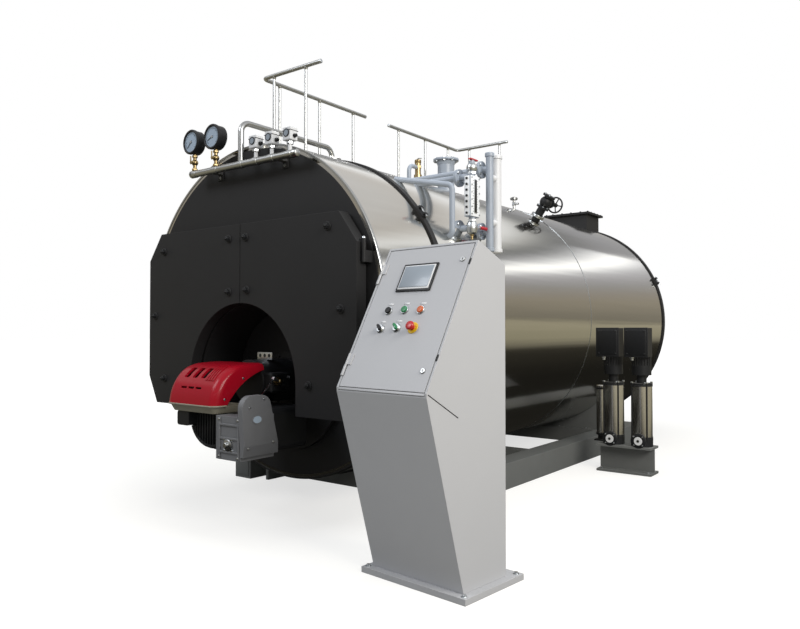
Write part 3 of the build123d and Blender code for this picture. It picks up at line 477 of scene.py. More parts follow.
class BOILER_OT_finishes(bpy.types.Operator):
    """Make the finishes and lay them on the solids"""

    bl_idname = "boiler.finishes"
    bl_label = "Finishes"

    def metals(self, colours):
        """Bare metals."""
        # Bright-rolled stainless sheet: long soft streaks along the shell, faintly wavy between its fixings
        tree, shader, where = bare_metal("rolled_stainless_sheet", colours.jacket, 0.12, 0.05, (0, 2.2, 0),
                                         0.05, 0.05)
        ripple = put(tree, "ShaderNodeVectorMath", {0: where, 1: (9.0, 0.25, 9.0)},
                     operation="MULTIPLY").outputs["Vector"]
        wave = put(tree, "ShaderNodeTexNoise", {"Vector": ripple, "Scale": 1.0, "Detail": 2.0})
        bump = put(tree, "ShaderNodeBump", {"Strength": 0.6, "Distance": 0.002,
                                            "Height": wave.outputs["Fac"]})
        tree.links.new(bump.outputs["Normal"], shader.inputs["Normal"])
        # Bare drawn steel tube: soft uneven tone, duller than the sheet
        bare_metal("drawn_steel_tube", colours.pipes, 0.3, 0.006, (0.05, 0.05, 0.05))
        # Brushed stainless pump sleeve: turned, so its soft lines run round
        bare_metal("polished_sleeve", linear("#DAD8D5"), 0.22, 0.03, (0.3, 0.3, 0), 0.03, 0.02)
        # Zinc plated bolts and brackets: pale and slightly blue
        bare_metal("zinc_plate", linear("#C6CACD"), 0.28, 0.01, (0.01, 0.01, 0.01), 0.1)
        # Cast brass: warm, with a dull skin from the mould
        bare_metal("cast_brass", colours.brass, 0.33, 0.012, (0.012, 0.012, 0.012), 0.14, 0.16)

    def paints(self, colours):
        """Paints and powder coats."""
        # Satin black heat-proof paint on rolled plate: nearly dead flat, with rubbed edges
        painted("black_plate_paint", colours.front, 0.5, 0.004, 0.35, 0.12, 0.25, Specular_IOR_Level=0.2)
        # Grey machine enamel, brushed on, with rubbed edges
        painted("grey_machine_enamel", colours.frame, 0.42, 0.005, 0.18, 0.1, 0.35)
        # Glossy lacquer over moulded plastic: deep colour under a clear coat
        painted("red_hood_lacquer", colours.hood, 0.3, 0.012, 0.3, 0.05, 0.0, Coat_Weight=0.15,
                Coat_Roughness=0.06, Specular_IOR_Level=0.15)
        # Sand-cast aluminium under grey paint: grainy and matt
        painted("grey_cast_paint", colours.casting, 0.5, 0.006, 0.09, 0.1, 0.3)
        # Olive paint on the pressed tray: even and half matt
        painted("olive_tray_paint", linear("#8B8778"), 0.45, 0.005, 0.12, 0.06)
        # Black paint on burner and pump castings: uneven tone, rubbed edges
        painted("black_cast_paint", linear("#1F2022"), 0.45, 0.006, 0.1, 0.16, 0.3, Specular_IOR_Level=0.25)
        # Blue-grey valve paint on cast and forged fittings: fairly glossy, rubbed edges
        painted("blue_grey_valve_paint", colours.fittings, 0.36, 0.006, 0.1, 0.1, 0.3)
        # Textured powder coat on folded console sheet: even, with a broken sheen
        painted("console_powder_coat", colours.console, 0.42, 0.004, 0.5, 0.025, 0.12)
        # Red vinyl dip coat on the cock handles: soft sheen
        painted("red_dip_coat", colours.handle, 0.34, 0.006, 0.05, 0.06)

    def mouldings(self):
        """Plastics, enamels, rubber and glass."""
        # Moulded plastic cases: even tone, faint texture
        painted("white_moulding", linear("#D9DADC"), 0.4, 0.004, 0.05, 0.03)
        painted("black_moulding", linear("#1A1B1D"), 0.4, 0.004, 0.05, 0.06, Specular_IOR_Level=0.25)
        # Moulded plastic button heads: even and glossy
        for name, code in (("green_moulding", "#1F7A4B"), ("amber_moulding", "#C25A1E"),
                           ("red_moulding", "#B31B22")):
            painted(name, linear(code), 0.28, 0.004, 0.05, 0.05)
        # Moulded yellow plate under the stop button: even and half glossy
        painted("yellow_moulding", linear("#D9B21C"), 0.35, 0.004, 0.05, 0.04)
        # Enamelled dial behind its glass: blue-grey with a clear sheen
        painted("dial_enamel", linear("#A0B1C2"), 0.3, 0.004, 0.08, 0.04, 0.0, Coat_Weight=0.4,
                Coat_Roughness=0.03)
        # White enamel of the level scale: smooth and even
        painted("scale_enamel", linear("#EEF1F4"), 0.3, 0.004, 0.08, 0.02)
        # Dark rubber of gaskets and seals: dull
        painted("seal_rubber", linear("#151515"), 0.7, 0.004, 0.05, 0.1)
        # Display glass over a grey-blue screen: smooth, with a faint clear coat
        painted("display_glass", linear("#8E98A2"), 0.3, 0.2, 0.2, 0.04, 0.0, Coat_Weight=0.15,
                Coat_Roughness=0.08)

    def execute(self, context):
        self.metals(context.scene.boiler_colours)
        self.paints(context.scene.boiler_colours)
        self.mouldings()
        for name, nodes in LAID.items():
            for node in nodes:
                for slot in frame["nodes"][node].material_slots:
                    slot.link = "OBJECT"
                    slot.material = finish[name]
        bare = set(frame["nodes"]) - {node for nodes in LAID.values() for node in nodes}
        if bare:
            raise RuntimeError("no finish for " + ", ".join(sorted(bare)))
        return {"FINISHED"}


class BOILER_OT_door_clamps(bpy.types.Operator):
    """Clamp nuts and hinge pins of the two smokebox doors"""

    bl_idname = "boiler.door_clamps"
    bl_label = "Door clamps"

    def execute(self, context):
        nut = context.scene.boiler_sizes.clamp
        washer = 0.007
        for door, spots in CLAMPS.items():
            clamps = Fitting()
            for x, z in spots:
                face = facing(Vector((x / 1000, DOOR_FACE, z / 1000)), -Y)
                clamps.turned([(0, 0), (nut * 1.5, 0), (nut * 1.5, 0.005), (nut * 1.35, washer),
                               (0, washer)], face, "black_plate_paint", 24)
                clamps.bolt(moved(face, z=washer), nut, "black_cast_paint", False)
                clamps.plug(face, 0.009, 0.007, 0.02, 0.034, 0.037, "black_cast_paint", 14)
            low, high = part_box(door)
            side = 1 if door == "right_door" else -1
            hinge = side * (max(abs(low.x), abs(high.x)) - HINGE_RADIUS)
            middle = DOOR_FACE + (high.y - low.y) / 2
            for share in HINGE_SHARES:
                cap = upright(hinge, middle, AXIS_Z + RADIUS * share + HINGE_LENGTH)
                clamps.turned([(0.011, 0), (0.011, 0.006), (0.006, 0.014), (0, 0.016)], cap,
                              "zinc_plate", 16)
            clamps.piece(door + "_clamps", door)
        return {"FINISHED"}


class BOILER_OT_jacket_trim(bpy.types.Operator):
    """Bright front strip, lap seams and band buckles of the jacket"""

    bl_idname = "boiler.jacket_trim"
    bl_label = "Jacket trim"

    def front_strip(self, sizes):
        """Folded strip round the front edge, bright above the smokebox's legs and black below them."""
        bright_ends, black_ends = (-34.0, 214.0), (214.4, 325.6)
        strip = [(RADIUS - 0.012, -0.003), (RADIUS + 0.001, -0.004), (RADIUS + 0.004, 0),
                 (RADIUS + 0.004, sizes.trim), (RADIUS + 0.0005, sizes.trim), (RADIUS + 0.0005, 0.0005),
                 (RADIUS - 0.012, 0.0)]
        trim = Fitting()
        along = facing(Vector((0, FRONT, AXIS_Z)), Y)
        trim.turned(strip, along, "drawn_steel_tube", 160, *bright_ends, True)
        recess = facing(Vector((0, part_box("tube_plate")[0].y, AXIS_Z)), Y)
        broad = [(radius, height * 3.5 if height > 0.001 else height) for radius, height in strip]
        trim.turned(broad, recess, "black_plate_paint", 80, *black_ends, True)
        trim.piece("jacket_front_strip", "boiler")

    def lap_seams(self, sizes):
        """Low ridge where one jacket sheet laps over the next."""
        seams = Fitting()
        first, last = SHELL_LOW.y, SHELL_HIGH.y
        wide = sizes.seam
        for number in range(1, int((last - first - wide) / sizes.sheet) + 1):
            ring = facing(Vector((0, first + sizes.sheet * number, AXIS_Z)), Y)
            seams.turned([(RADIUS - 0.002, 0), (RADIUS + 0.0028, 0), (RADIUS + 0.0034, wide * 0.4),
                          (RADIUS + 0.0014, wide), (RADIUS - 0.002, wide)],
                         ring, "zinc_plate", 200, loop=True)
        seams.piece("jacket_seams", "boiler")

    def buckles(self):
        """Plate, two lugs and a draw bolt on each band."""
        buckles = Fitting()
        band_thickness = 0.012
        for node, angle in (("front_band", 53.8), ("rear_band", 66.4)):
            low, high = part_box(node)
            place, out = on_jacket((low.y + high.y) / 2 - FRONT, angle, band_thickness)
            lay = facing(place, out, Y)
            buckles.plate((0.09, 0.05, 0.012), moved(lay, z=0.006), "black_cast_paint", 0.003)
            for shift in (-0.03, 0.03):
                buckles.plate((0.018, 0.044, 0.026), moved(lay, shift, z=0.018), "black_cast_paint", 0.002)
            rod = [lay @ Vector((part, 0, 0.024)) for part in (-0.05, 0.05)]
            buckles.bar(rod, 0.005, "zinc_plate", 10)
            buckles.bolt(facing(rod[1], rod[1] - rod[0]), 0.009, "zinc_plate", False)
        buckles.piece("band_buckles", "boiler")

    def execute(self, context):
        sizes = context.scene.boiler_sizes
        self.front_strip(sizes)
        self.lap_seams(sizes)
        self.buckles()
        return {"FINISHED"}


class BOILER_OT_burner_details(bpy.types.Operator):
    """Grille, intake plate, bracket, linkage, screws and blank badge plate of the burner"""

    bl_idname = "boiler.burner_details"
    bl_label = "Burner details"

    def fan_grille(self):
        """Upright bars and part of a ring on the fan's mouth, clear of its terminal box and the intake."""
        low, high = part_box("burner_motor")
        wide, mouth = high.x - 0.026, FRONT + FAN_MOUTH_Y
        centre_z = low.z + high.x
        box_right, box_low = -0.136, centre_z - 0.079
        intake_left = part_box("air_intake")[0].x
        grille = Fitting()
        count = 15
        for number in range(count):
            x = -wide + 2 * wide * (number + 0.5) / count
            bottom = centre_z - math.sqrt(wide ** 2 - x ** 2)
            top = box_low if x < box_right else high.z - 0.004
            if top - bottom < 0.02 or x > intake_left - 0.008:
                continue
            grille.plate((0.011, 0.014, top - bottom), upright(x, mouth - 0.006, (top + bottom) / 2),
                         "black_cast_paint", 0.003)
        ring = facing(Vector((0, mouth, centre_z)), -Y)
        grille.turned([(wide - 0.008, 0), (wide + 0.012, 0), (wide + 0.010, 0.016), (wide - 0.006, 0.016)],
                      ring, "black_cast_paint", 48, 204, 326, True)
        grille.piece("fan_grille", "boiler")

    def intake_plate(self, sizes):
        """Ribs, screws and a bolted boss on the front of the air intake."""
        low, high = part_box("air_intake")
        margin, rib, proud = 0.012, 0.014, 0.010
        intake = Fitting()
        face = facing(Vector(((low.x + high.x) / 2 + margin, low.y, (low.z + high.z) / 2)), -Y)
        half_w, half_h = (high.x - low.x) / 2 - margin, (high.z - low.z) / 2
        for v in (-0.62, 0.0, 0.62):
            intake.plate((half_w * 1.7, rib, proud), moved(face, y=half_h * v, z=0.004), "grey_cast_paint",
                         0.003)
        for u in (-0.86, 0.86):
            intake.plate((rib, half_h * 1.9, proud), moved(face, half_w * u, z=0.004), "grey_cast_paint",
                         0.003)
            for v in (-0.85, 0.85):
                intake.screw(moved(face, half_w * u, half_h * v, 0.009), sizes.screw * 1.2, "zinc_plate")
        boss = moved(face, -0.005, -half_h * 0.3)
        intake.turned([(0.036, 0), (0.036, 0.012), (0.030, 0.016), (0.018, 0.016), (0.018, 0.03),
                       (0.014, 0.034), (0, 0.034)], boss, "drawn_steel_tube", 28)
        intake.bolts(boss, 0.048, 4, sizes.screw * 1.3, "zinc_plate", 45)
        intake.piece("intake_plate", "boiler")

    def cover_plate(self, sizes):
        """Blank oval badge plate and screws on the damper cover."""
        low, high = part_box("damper_cover")
        cover = Fitting()
        oval = facing(Vector((high.x, low.y + 0.115, low.z + 0.225)), X) @ Matrix.Diagonal((1.5, 1, 1, 1))
        cover.turned([(0.027, -0.001), (0.027, 0.003), (0.024, 0.005), (0.022, 0.003), (0, 0.003)], oval,
                     "grey_cast_paint", 36)
        cover.turned([(0.0215, 0.0032), (0, 0.0036)], oval, "dial_enamel", 36)
        for y, z in ((0.045, 0.055), (0.245, 0.075), (0.055, 0.30), (0.17, 0.345)):
            cover.screw(facing(Vector((high.x, low.y + y, low.z + z)), X), sizes.screw, "zinc_plate")
        cover.piece("cover_plate", "boiler")

    def head_screws(self, sizes, side_x):
        """Terminal bracket on top of the burner's head, side screws and the bolts of its flange."""
        head = Fitting()
        shelf = upright(0.02, FRONT + 0.104, FURNACE_Z + HEAD_RADIUS + 0.022)
        head.plate((0.15, 0.006, 0.052), shelf, "zinc_plate", 0.002)
        # Painted shade: a thin dark disc on each face stands for each of the bracket's three holes
        for x in (-0.045, 0.0, 0.045):
            for way in (Y, -Y):
                hole = facing(shelf.translation + Vector((x, 0.0031 * way.y, 0.004)), way)
                head.turned([(0.013, 0), (0.012, 0.0006), (0, 0.0006)], hole, "seal_rubber", 20)
        for z in (0.04, -0.04):
            for y in (0.01, 0.11):
                head.screw(facing(Vector((side_x, FRONT + y, FURNACE_Z + z)), X), sizes.screw,
                           "black_cast_paint")
        flange = 0.178
        for angle in range(20, 380, 45):
            turn = math.radians(angle)
            place = Vector((flange * math.cos(turn), FRONT + BURNER_FLANGE_Y,
                            FURNACE_Z + flange * math.sin(turn)))
            head.bolt(facing(place, -Y), sizes.bolt, "black_cast_paint")
        head.piece("head_screws", "boiler")

    def damper_linkage(self, side_x):
        """Servo arm, rod and pivot that turn the air damper, and two cable glands."""
        linkage = Fitting()
        shaft = Vector((side_x, FRONT + 0.030, FURNACE_Z + 0.010))
        low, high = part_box("damper_cover")
        start = Vector((low.x - 0.1, (low.y + high.y) / 2 + 0.02, high.z - 0.06))
        pivot = hit("damper_cover", start, X)[0]
        linkage.turned([(0, 0), (0.030, 0), (0.030, 0.012), (0.016, 0.014), (0.016, 0.040), (0.012, 0.044),
                        (0, 0.044)], facing(shaft, X), "cast_brass", 28)
        crank = shaft + Vector((0.030, -0.052, 0.020))
        joint = pivot - X * 0.034
        linkage.bar([shaft + X * 0.030, crank], 0.009, "drawn_steel_tube", 12)
        linkage.turned([(0, -0.012), (0.014, -0.012), (0.014, 0.012), (0, 0.012)], facing(crank, X),
                       "zinc_plate", 6)
        linkage.bar([pivot + X * 0.002, pivot - X * 0.040], 0.009, "drawn_steel_tube", 12)
        linkage.turned([(0, -0.012), (0.013, -0.012), (0.013, 0.012), (0, 0.012)], facing(joint, X),
                       "cast_brass", 6)
        linkage.bar([crank, joint], 0.005, "zinc_plate", 10)
        for y, z in ((0.052, -0.035), (0.100, 0.020)):
            gland = facing(shaft + Vector((0, y, z)), X)
            linkage.turned([(0.017, -0.001), (0.017, 0.010), (0.013, 0.014), (0.013, 0.030), (0, 0.031)],
                           gland, "black_moulding", 6)
        linkage.piece("damper_linkage", "boiler")

    def hood_trim(self, sizes):
        """Screws in the hood's sides and a rolled lip round its lower edge."""
        low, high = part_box("burner_hood")
        hood = Fitting()
        for side in (-1, 1):
            for y, z in ((0.085, 0.045), (0.235, 0.17)):
                place, out = hit("burner_hood", Vector((side, low.y + y, low.z + z)), X * -side)
                hood.screw(facing(place, out), sizes.screw * 1.2, "zinc_plate")
        hood.piece("hood_screws", "boiler")
        lip = Fitting()
        nose, back, height = 0.060, low.y + 0.100, low.z + 0.003
        path = [(low.x, back, height)]
        for corner, first in ((low.x + nose, 180), (high.x - nose, 270)):
            for turn in range(first, first + 91, 15):
                path.append((corner + nose * math.cos(math.radians(turn)),
                             low.y + nose + nose * math.sin(math.radians(turn)), height))
        path.append((high.x, back, height))
        lip.bar(path, 0.0055, "olive_tray_paint", 12)
        lip.piece("hood_lip", "boiler")

    def execute(self, context):
        sizes = context.scene.boiler_sizes
        head_side = 0.22
        self.fan_grille()
        self.intake_plate(sizes)
        self.cover_plate(sizes)
        self.head_screws(sizes, head_side)
        self.damper_linkage(head_side)
        self.hood_trim(sizes)
        return {"FINISHED"}


class BOILER_OT_gauges(bpy.types.Operator):
    """Dials, bezels, cock handles, pressure switch windows and unions on the manifold"""

    bl_idname = "boiler.gauges"
    bl_label = "Gauges and switches"

    def dial(self, sizes, node, reading):
        """Bezel, face, ticks and needle of a gauge, and the lever and nuts of its cock."""
        first, sweep = 225, 270
        low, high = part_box(node)
        centre = (low + high) / 2
        wide = (high.x - low.x) / 2
        face = facing(Vector((centre.x, low.y, centre.z)), -Y)
        dial = Fitting()
        dial.turned([(wide, -0.012), (wide + 0.004, -0.008), (wide + 0.004, 0.006), (wide - 0.004, 0.012),
                     (wide - 0.012, 0.010), (wide - 0.013, 0.002)], face, "black_cast_paint", 56)
        dial.turned([(wide - 0.012, 0.002), (0, 0.002)], face, "dial_enamel", 56)
        for tick in range(sizes.ticks):
            turn = spun(face, first - sweep * tick / (sizes.ticks - 1))
            long = 0.014 if tick % 5 == 0 else 0.008
            dial.plate((long, sizes.tick, 0.0008), moved(turn, wide * 0.76 - long / 2, z=0.0026),
                       "black_moulding", 0)
        dial.plate((wide * 0.78, 0.0045, 0.0012), moved(spun(face, first - reading), wide * 0.24, z=0.005),
                   "black_moulding", 0)
        dial.turned([(0.008, 0.002), (0.008, 0.008), (0, 0.008)], face, "zinc_plate", 18)
        dial.piece(node + "_dial", "boiler")

        low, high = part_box(node + "_cock")
        middle = (low + high) / 2
        cock = Fitting()
        lever = facing(Vector((middle.x, low.y, middle.z)), -Y)
        cock.plug(lever, 0.010, 0.007, 0, 0.012, 0.016, "cast_brass", 16)
        cock.plate((0.010, 0.062, 0.007), moved(lever, y=0.016, z=0.012), "cast_brass", 0.003)
        for z in (low.z + 0.012, high.z - 0.014):
            cock.collar(upright(middle.x, middle.y, z - 0.009), 0.018, 0.020, 0, 0.018, 0.003,
                        "cast_brass", 6)
        cock.piece(node + "_cock_lever", "boiler")

    def switch(self, sizes, node):
        """Window, lid line, screws, gland and nut of a pressure switch."""
        low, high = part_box(node)
        middle = (low + high) / 2
        box_low = high.z - 0.084
        switch = Fitting()
        window = facing(Vector((middle.x, low.y, box_low + 0.046)), -Y)
        switch.turned([(0.026, -0.001), (0.026, 0.004), (0.022, 0.006), (0.021, 0.003), (0, 0.003)], window,
                      "black_moulding", 28)
        switch.turned([(0.020, 0.0034), (0, 0.004)], window, "display_glass", 28)
        switch.plate((0.078, 0.070, 0.004), upright(middle.x, middle.y, box_low + 0.062), "black_moulding",
                     0.001)
        for x in (-0.027, 0.027):
            switch.screw(upright(middle.x + x, middle.y, high.z), sizes.screw * 0.8, "zinc_plate")
        gland = facing(Vector((high.x, middle.y, box_low + 0.028)), X)
        switch.turned([(0.013, -0.001), (0.013, 0.008), (0.011, 0.010), (0.011, 0.020), (0.008, 0.024),
                       (0, 0.024)], gland, "black_moulding", 18)
        stem = upright(middle.x, middle.y, box_low - 0.022)
        switch.collar(stem, 0.020, 0.023, 0, 0.020, 0.003, "zinc_plate", 6)
        switch.piece(node + "_cover", "boiler")

    def manifold_unions(self, sizes):
        """End caps, branch unions and bracket plates of the manifold."""
        low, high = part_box("manifold")
        pipe, union = 0.0242, 0.0268
        axis_y, axis_z = low.y + 0.024, (low.z + high.z) / 2
        unions = Fitting()
        for side in (-1, 1):
            end = facing(Vector((side * high.x, axis_y, axis_z)), X * side)
            unions.turned([(pipe, -0.03), (union, -0.028), (union, -0.004), (0.023, 0.002), (0.012, 0.006),
                           (0, 0.006)], end, "drawn_steel_tube", 24)
        for x in MANIFOLD_BRANCHES:
            joint = facing(Vector((x - 0.03, axis_y, axis_z)), X)
            unions.collar(joint, pipe, union, 0.006, 0.048, 0.002, "drawn_steel_tube", 24)
        for x in MANIFOLD_BRACKETS:
            for z in (-0.034, 0.034):
                unions.bolt(facing(Vector((x, FRONT, axis_z + z)), -Y), sizes.bolt, "zinc_plate")
            unions.plate((0.06, 0.008, 0.11), upright(x, FRONT - 0.004, axis_z), "black_plate_paint")
        unions.piece("manifold_unions", "boiler")

    def siphon_flange(self, sizes):
        """Bolts and foot of the siphon pipe's flange on the shell."""
        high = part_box("siphon_pipe")[1]
        flange = Fitting()
        base = upright(0, high.y - 0.072, AXIS_Z + RADIUS + 0.060)
        circle = 0.054
        for angle in range(0, 360, 60):
            turn = math.radians(angle)
            spot = moved(base, circle * math.cos(turn), circle * math.sin(turn))
            flange.bolt(spot, sizes.bolt, "zinc_plate")
        flange.turned([(0.030, -0.064), (0.044, -0.062), (0.030, -0.040), (0.026, -0.021)], base,
                      "drawn_steel_tube", 28)
        flange.piece("siphon_flange", "boiler")

    def execute(self, context):
        sizes = context.scene.boiler_sizes
        for node, reading in (("left_gauge", 0), ("right_gauge", 22)):
            self.dial(sizes, node, reading)
        for number in (1, 2, 3):
            self.switch(sizes, "pressure_switch_%d" % number)
        self.manifold_unions(sizes)
        self.siphon_flange(sizes)
        return {"FINISHED"}


class BOILER_OT_rail_feet(bpy.types.Operator):
    """Feet, weld collars and end caps of the walkway rails"""

    bl_idname = "boiler.rail_feet"
    bl_label = "Rail feet"

    def execute(self, context):
        sizes = context.scene.boiler_sizes
        wide, plate = sizes.foot, 0.007
        for node, posts in RAIL_POSTS.items():
            low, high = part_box(node)
            rail_z = high.z - RAIL_RADIUS
            feet = Fitting()
            for x, y in posts:
                place, out = on_jacket(y, math.degrees(math.asin(x / RADIUS)))
                foot = facing(place, out, Y)
                feet.turned([(wide, -0.002), (wide, 0.005), (wide * 0.94, plate), (0, plate)], foot,
                            "drawn_steel_tube", 28)
                for angle in (45, 135, 225, 315):
                    feet.screw(moved(spun(foot, angle), wide * 0.68, z=plate), sizes.screw * 0.7,
                               "zinc_plate")
                post = upright(x, FRONT + y, place.z)
                under = rail_z - place.z
                feet.turned([(0.018, 0.004), (0.0125, 0.022), (0.011, 0.024)], post, "drawn_steel_tube", 20)
                feet.turned([(0.011, under - 0.028), (0.015, under - 0.014)], post, "drawn_steel_tube", 20)
            ahead = node == "front_rail"
            long_end = (Vector((RAIL_X, high.y if ahead else low.y, rail_z)), Y if ahead else -Y)
            cross = low.y + RAIL_RADIUS if ahead else high.y - RAIL_RADIUS
            for place, out in (long_end, (Vector((high.x, cross, rail_z)), X)):
                feet.turned([(0.0155, -0.012), (0.0155, 0.001), (0.011, 0.005), (0, 0.006)],
                            facing(place, out), "zinc_plate", 22)
            feet.piece(node + "_feet", "boiler")
        return {"FINISHED"}


class BOILER_OT_top_fittings(bpy.types.Operator):
    """Bolts, collars, levers and knobs of the fittings on top of the shell"""

    bl_idname = "boiler.top_fittings"
    bl_label = "Top fittings"

    def steam_nozzle(self, sizes):
        """Flange bolts, joint face and weld of the steam nozzle."""
        low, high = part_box("steam_nozzle")
        centre = (low + high) / 2
        pipe, flange, circle = 0.0805, 0.018, 0.104
        nozzle = Fitting()
        top = upright(centre.x, centre.y, high.z)
        rim = upright(centre.x, centre.y, high.z - flange)
        foot = upright(centre.x, centre.y, AXIS_Z + RADIUS - 0.003)
        for side in (facing(rim.translation, -Z), top):
            nozzle.bolts(side, circle, 8, sizes.bolt, "zinc_plate", 22.5)
        nozzle.turned([(0.070, -0.0005), (0.086, -0.0005), (0.086, 0.003), (0.070, 0.003)], top,
                      "blue_grey_valve_paint", 40, loop=True)
        nozzle.turned([(pipe, 0), (0.098, 0.002), (0.094, 0.012), (pipe, 0.03)], foot,
                      "blue_grey_valve_paint", 40)
        nozzle.turned([(pipe, -0.04), (0.092, -0.012), (0.095, 0)], rim, "blue_grey_valve_paint", 40)
        nozzle.piece("steam_nozzle_bolts", "boiler")

    def safety_valve(self, sizes):
        """Nuts, cap, lifting lever and flange bolts of the safety valve."""
        low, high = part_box("safety_valve")
        middle = (low + high) / 2
        tall = high.z - low.z
        body = 0.0275
        valve = Fitting()
        stand = upright(middle.x, middle.y, low.z)
        valve.collar(stand, 0.0375, 0.041, 0.002, 0.028, 0.004, "cast_brass", 6)
        valve.turned([(body, tall * 0.60), (0.034, tall * 0.62), (0.034, tall * 0.72), (body, tall * 0.75)],
                     stand, "cast_brass", 6)
        valve.turned([(body, tall - 0.03), (0.030, tall - 0.026), (0.030, tall - 0.002),
                      (0.024, tall + 0.004), (0.010, tall + 0.006), (0, tall + 0.006)],
                     stand, "cast_brass", 28)
        lever = ((0.0, -0.012, tall + 0.006), (0.03, -0.03, tall + 0.008), (0.075, -0.05, tall - 0.004))
        valve.bar([stand @ Vector(point) for point in lever], 0.0045, "zinc_plate", 10)
        flange = upright(middle.x, middle.y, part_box("safety_nozzle")[1].z)
        valve.bolts(flange, 0.0505, 6, sizes.screw, "zinc_plate")
        valve.piece("safety_valve_cap", "boiler")

    def vent_knob(self):
        """Knob, nut and outlet stub of the vent valve."""
        low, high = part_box("vent_valve")
        middle = (low + high) / 2
        vent = Fitting()
        top = upright(middle.x, middle.y, high.z)
        vent.turned([(0.012, -0.022), (0.030, -0.020), (0.0375, -0.012), (0.0375, -0.004), (0.030, 0.004),
                     (0.012, 0.010), (0, 0.011)], top, "black_moulding", 9)
        vent.collar(top, 0.018, 0.021, -0.075, 0.030, 0.003, "zinc_plate", 6)
        vent.bar([(middle.x, middle.y, high.z - 0.06), (middle.x + 0.05, middle.y, high.z - 0.062)], 0.010,
                 "drawn_steel_tube", 14)
        vent.piece("vent_knob", "boiler")

    def flue_bolts(self, sizes):
        """Bolts along the flue box's flange."""
        low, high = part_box("flue_box")
        inset = 0.021
        deep = high.y - low.y
        spots = [(side * (high.x - inset), low.y + deep * share)
                 for side in (-1, 1) for share in (0.06, 0.28, 0.5, 0.72, 0.94)]
        spots += [(high.x * share, y)
                  for y in (low.y + inset, high.y - inset) for share in (-0.62, -0.2, 0.2, 0.62)]
        flue = Fitting()
        for x, y in spots:
            flue.bolt(upright(x, y, high.z), sizes.bolt, "black_cast_paint")
        flue.piece("flue_bolts", "boiler")

    def stop_valve(self, sizes):
        """Flange bolts, bonnet and yoke of the stop valve."""
        turn = math.radians(STOP_VALVE_ANGLE)
        out = Vector((math.sin(turn), 0, math.cos(turn)))
        base = Vector((0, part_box("stop_wheel")[0].y - 0.185, AXIS_Z))
        stop = Fitting()
        for reach in (0.05, 0.142, 0.262):
            stop.bolts(facing(base + out * (RADIUS + reach), out, Y), 0.050, 6, sizes.screw, "zinc_plate")
        pad = facing(base + out * RADIUS, out, Y)
        stop.collar(pad, 0.063, 0.064, 0.028, 0.024, 0.002, "zinc_plate", 36)
        bonnet = facing(base + out * (RADIUS + 0.19) + Y * 0.113, Y)
        stop.collar(bonnet, 0.032, 0.046, -0.03, 0.018, 0.002, "black_cast_paint", 28)
        stop.bolts(moved(bonnet, z=-0.014), 0.039, 4, sizes.screw * 0.8, "zinc_plate", 45)
        for side in (-1, 1):
            yoke = ((0.026 * side, 0, -0.01), (0.030 * side, 0, 0.03), (0.018 * side, 0, 0.055),
                    (0.009 * side, 0, 0.058))
            stop.bar([bonnet @ Vector(point) for point in yoke], 0.007, "black_cast_paint", 10)
        stop.piece("stop_valve_bolts", "boiler")

    def execute(self, context):
        sizes = context.scene.boiler_sizes
        self.steam_nozzle(sizes)
        self.safety_valve(sizes)
        self.vent_knob()
        self.flue_bolts(sizes)
        self.stop_valve(sizes)
        return {"FINISHED"}


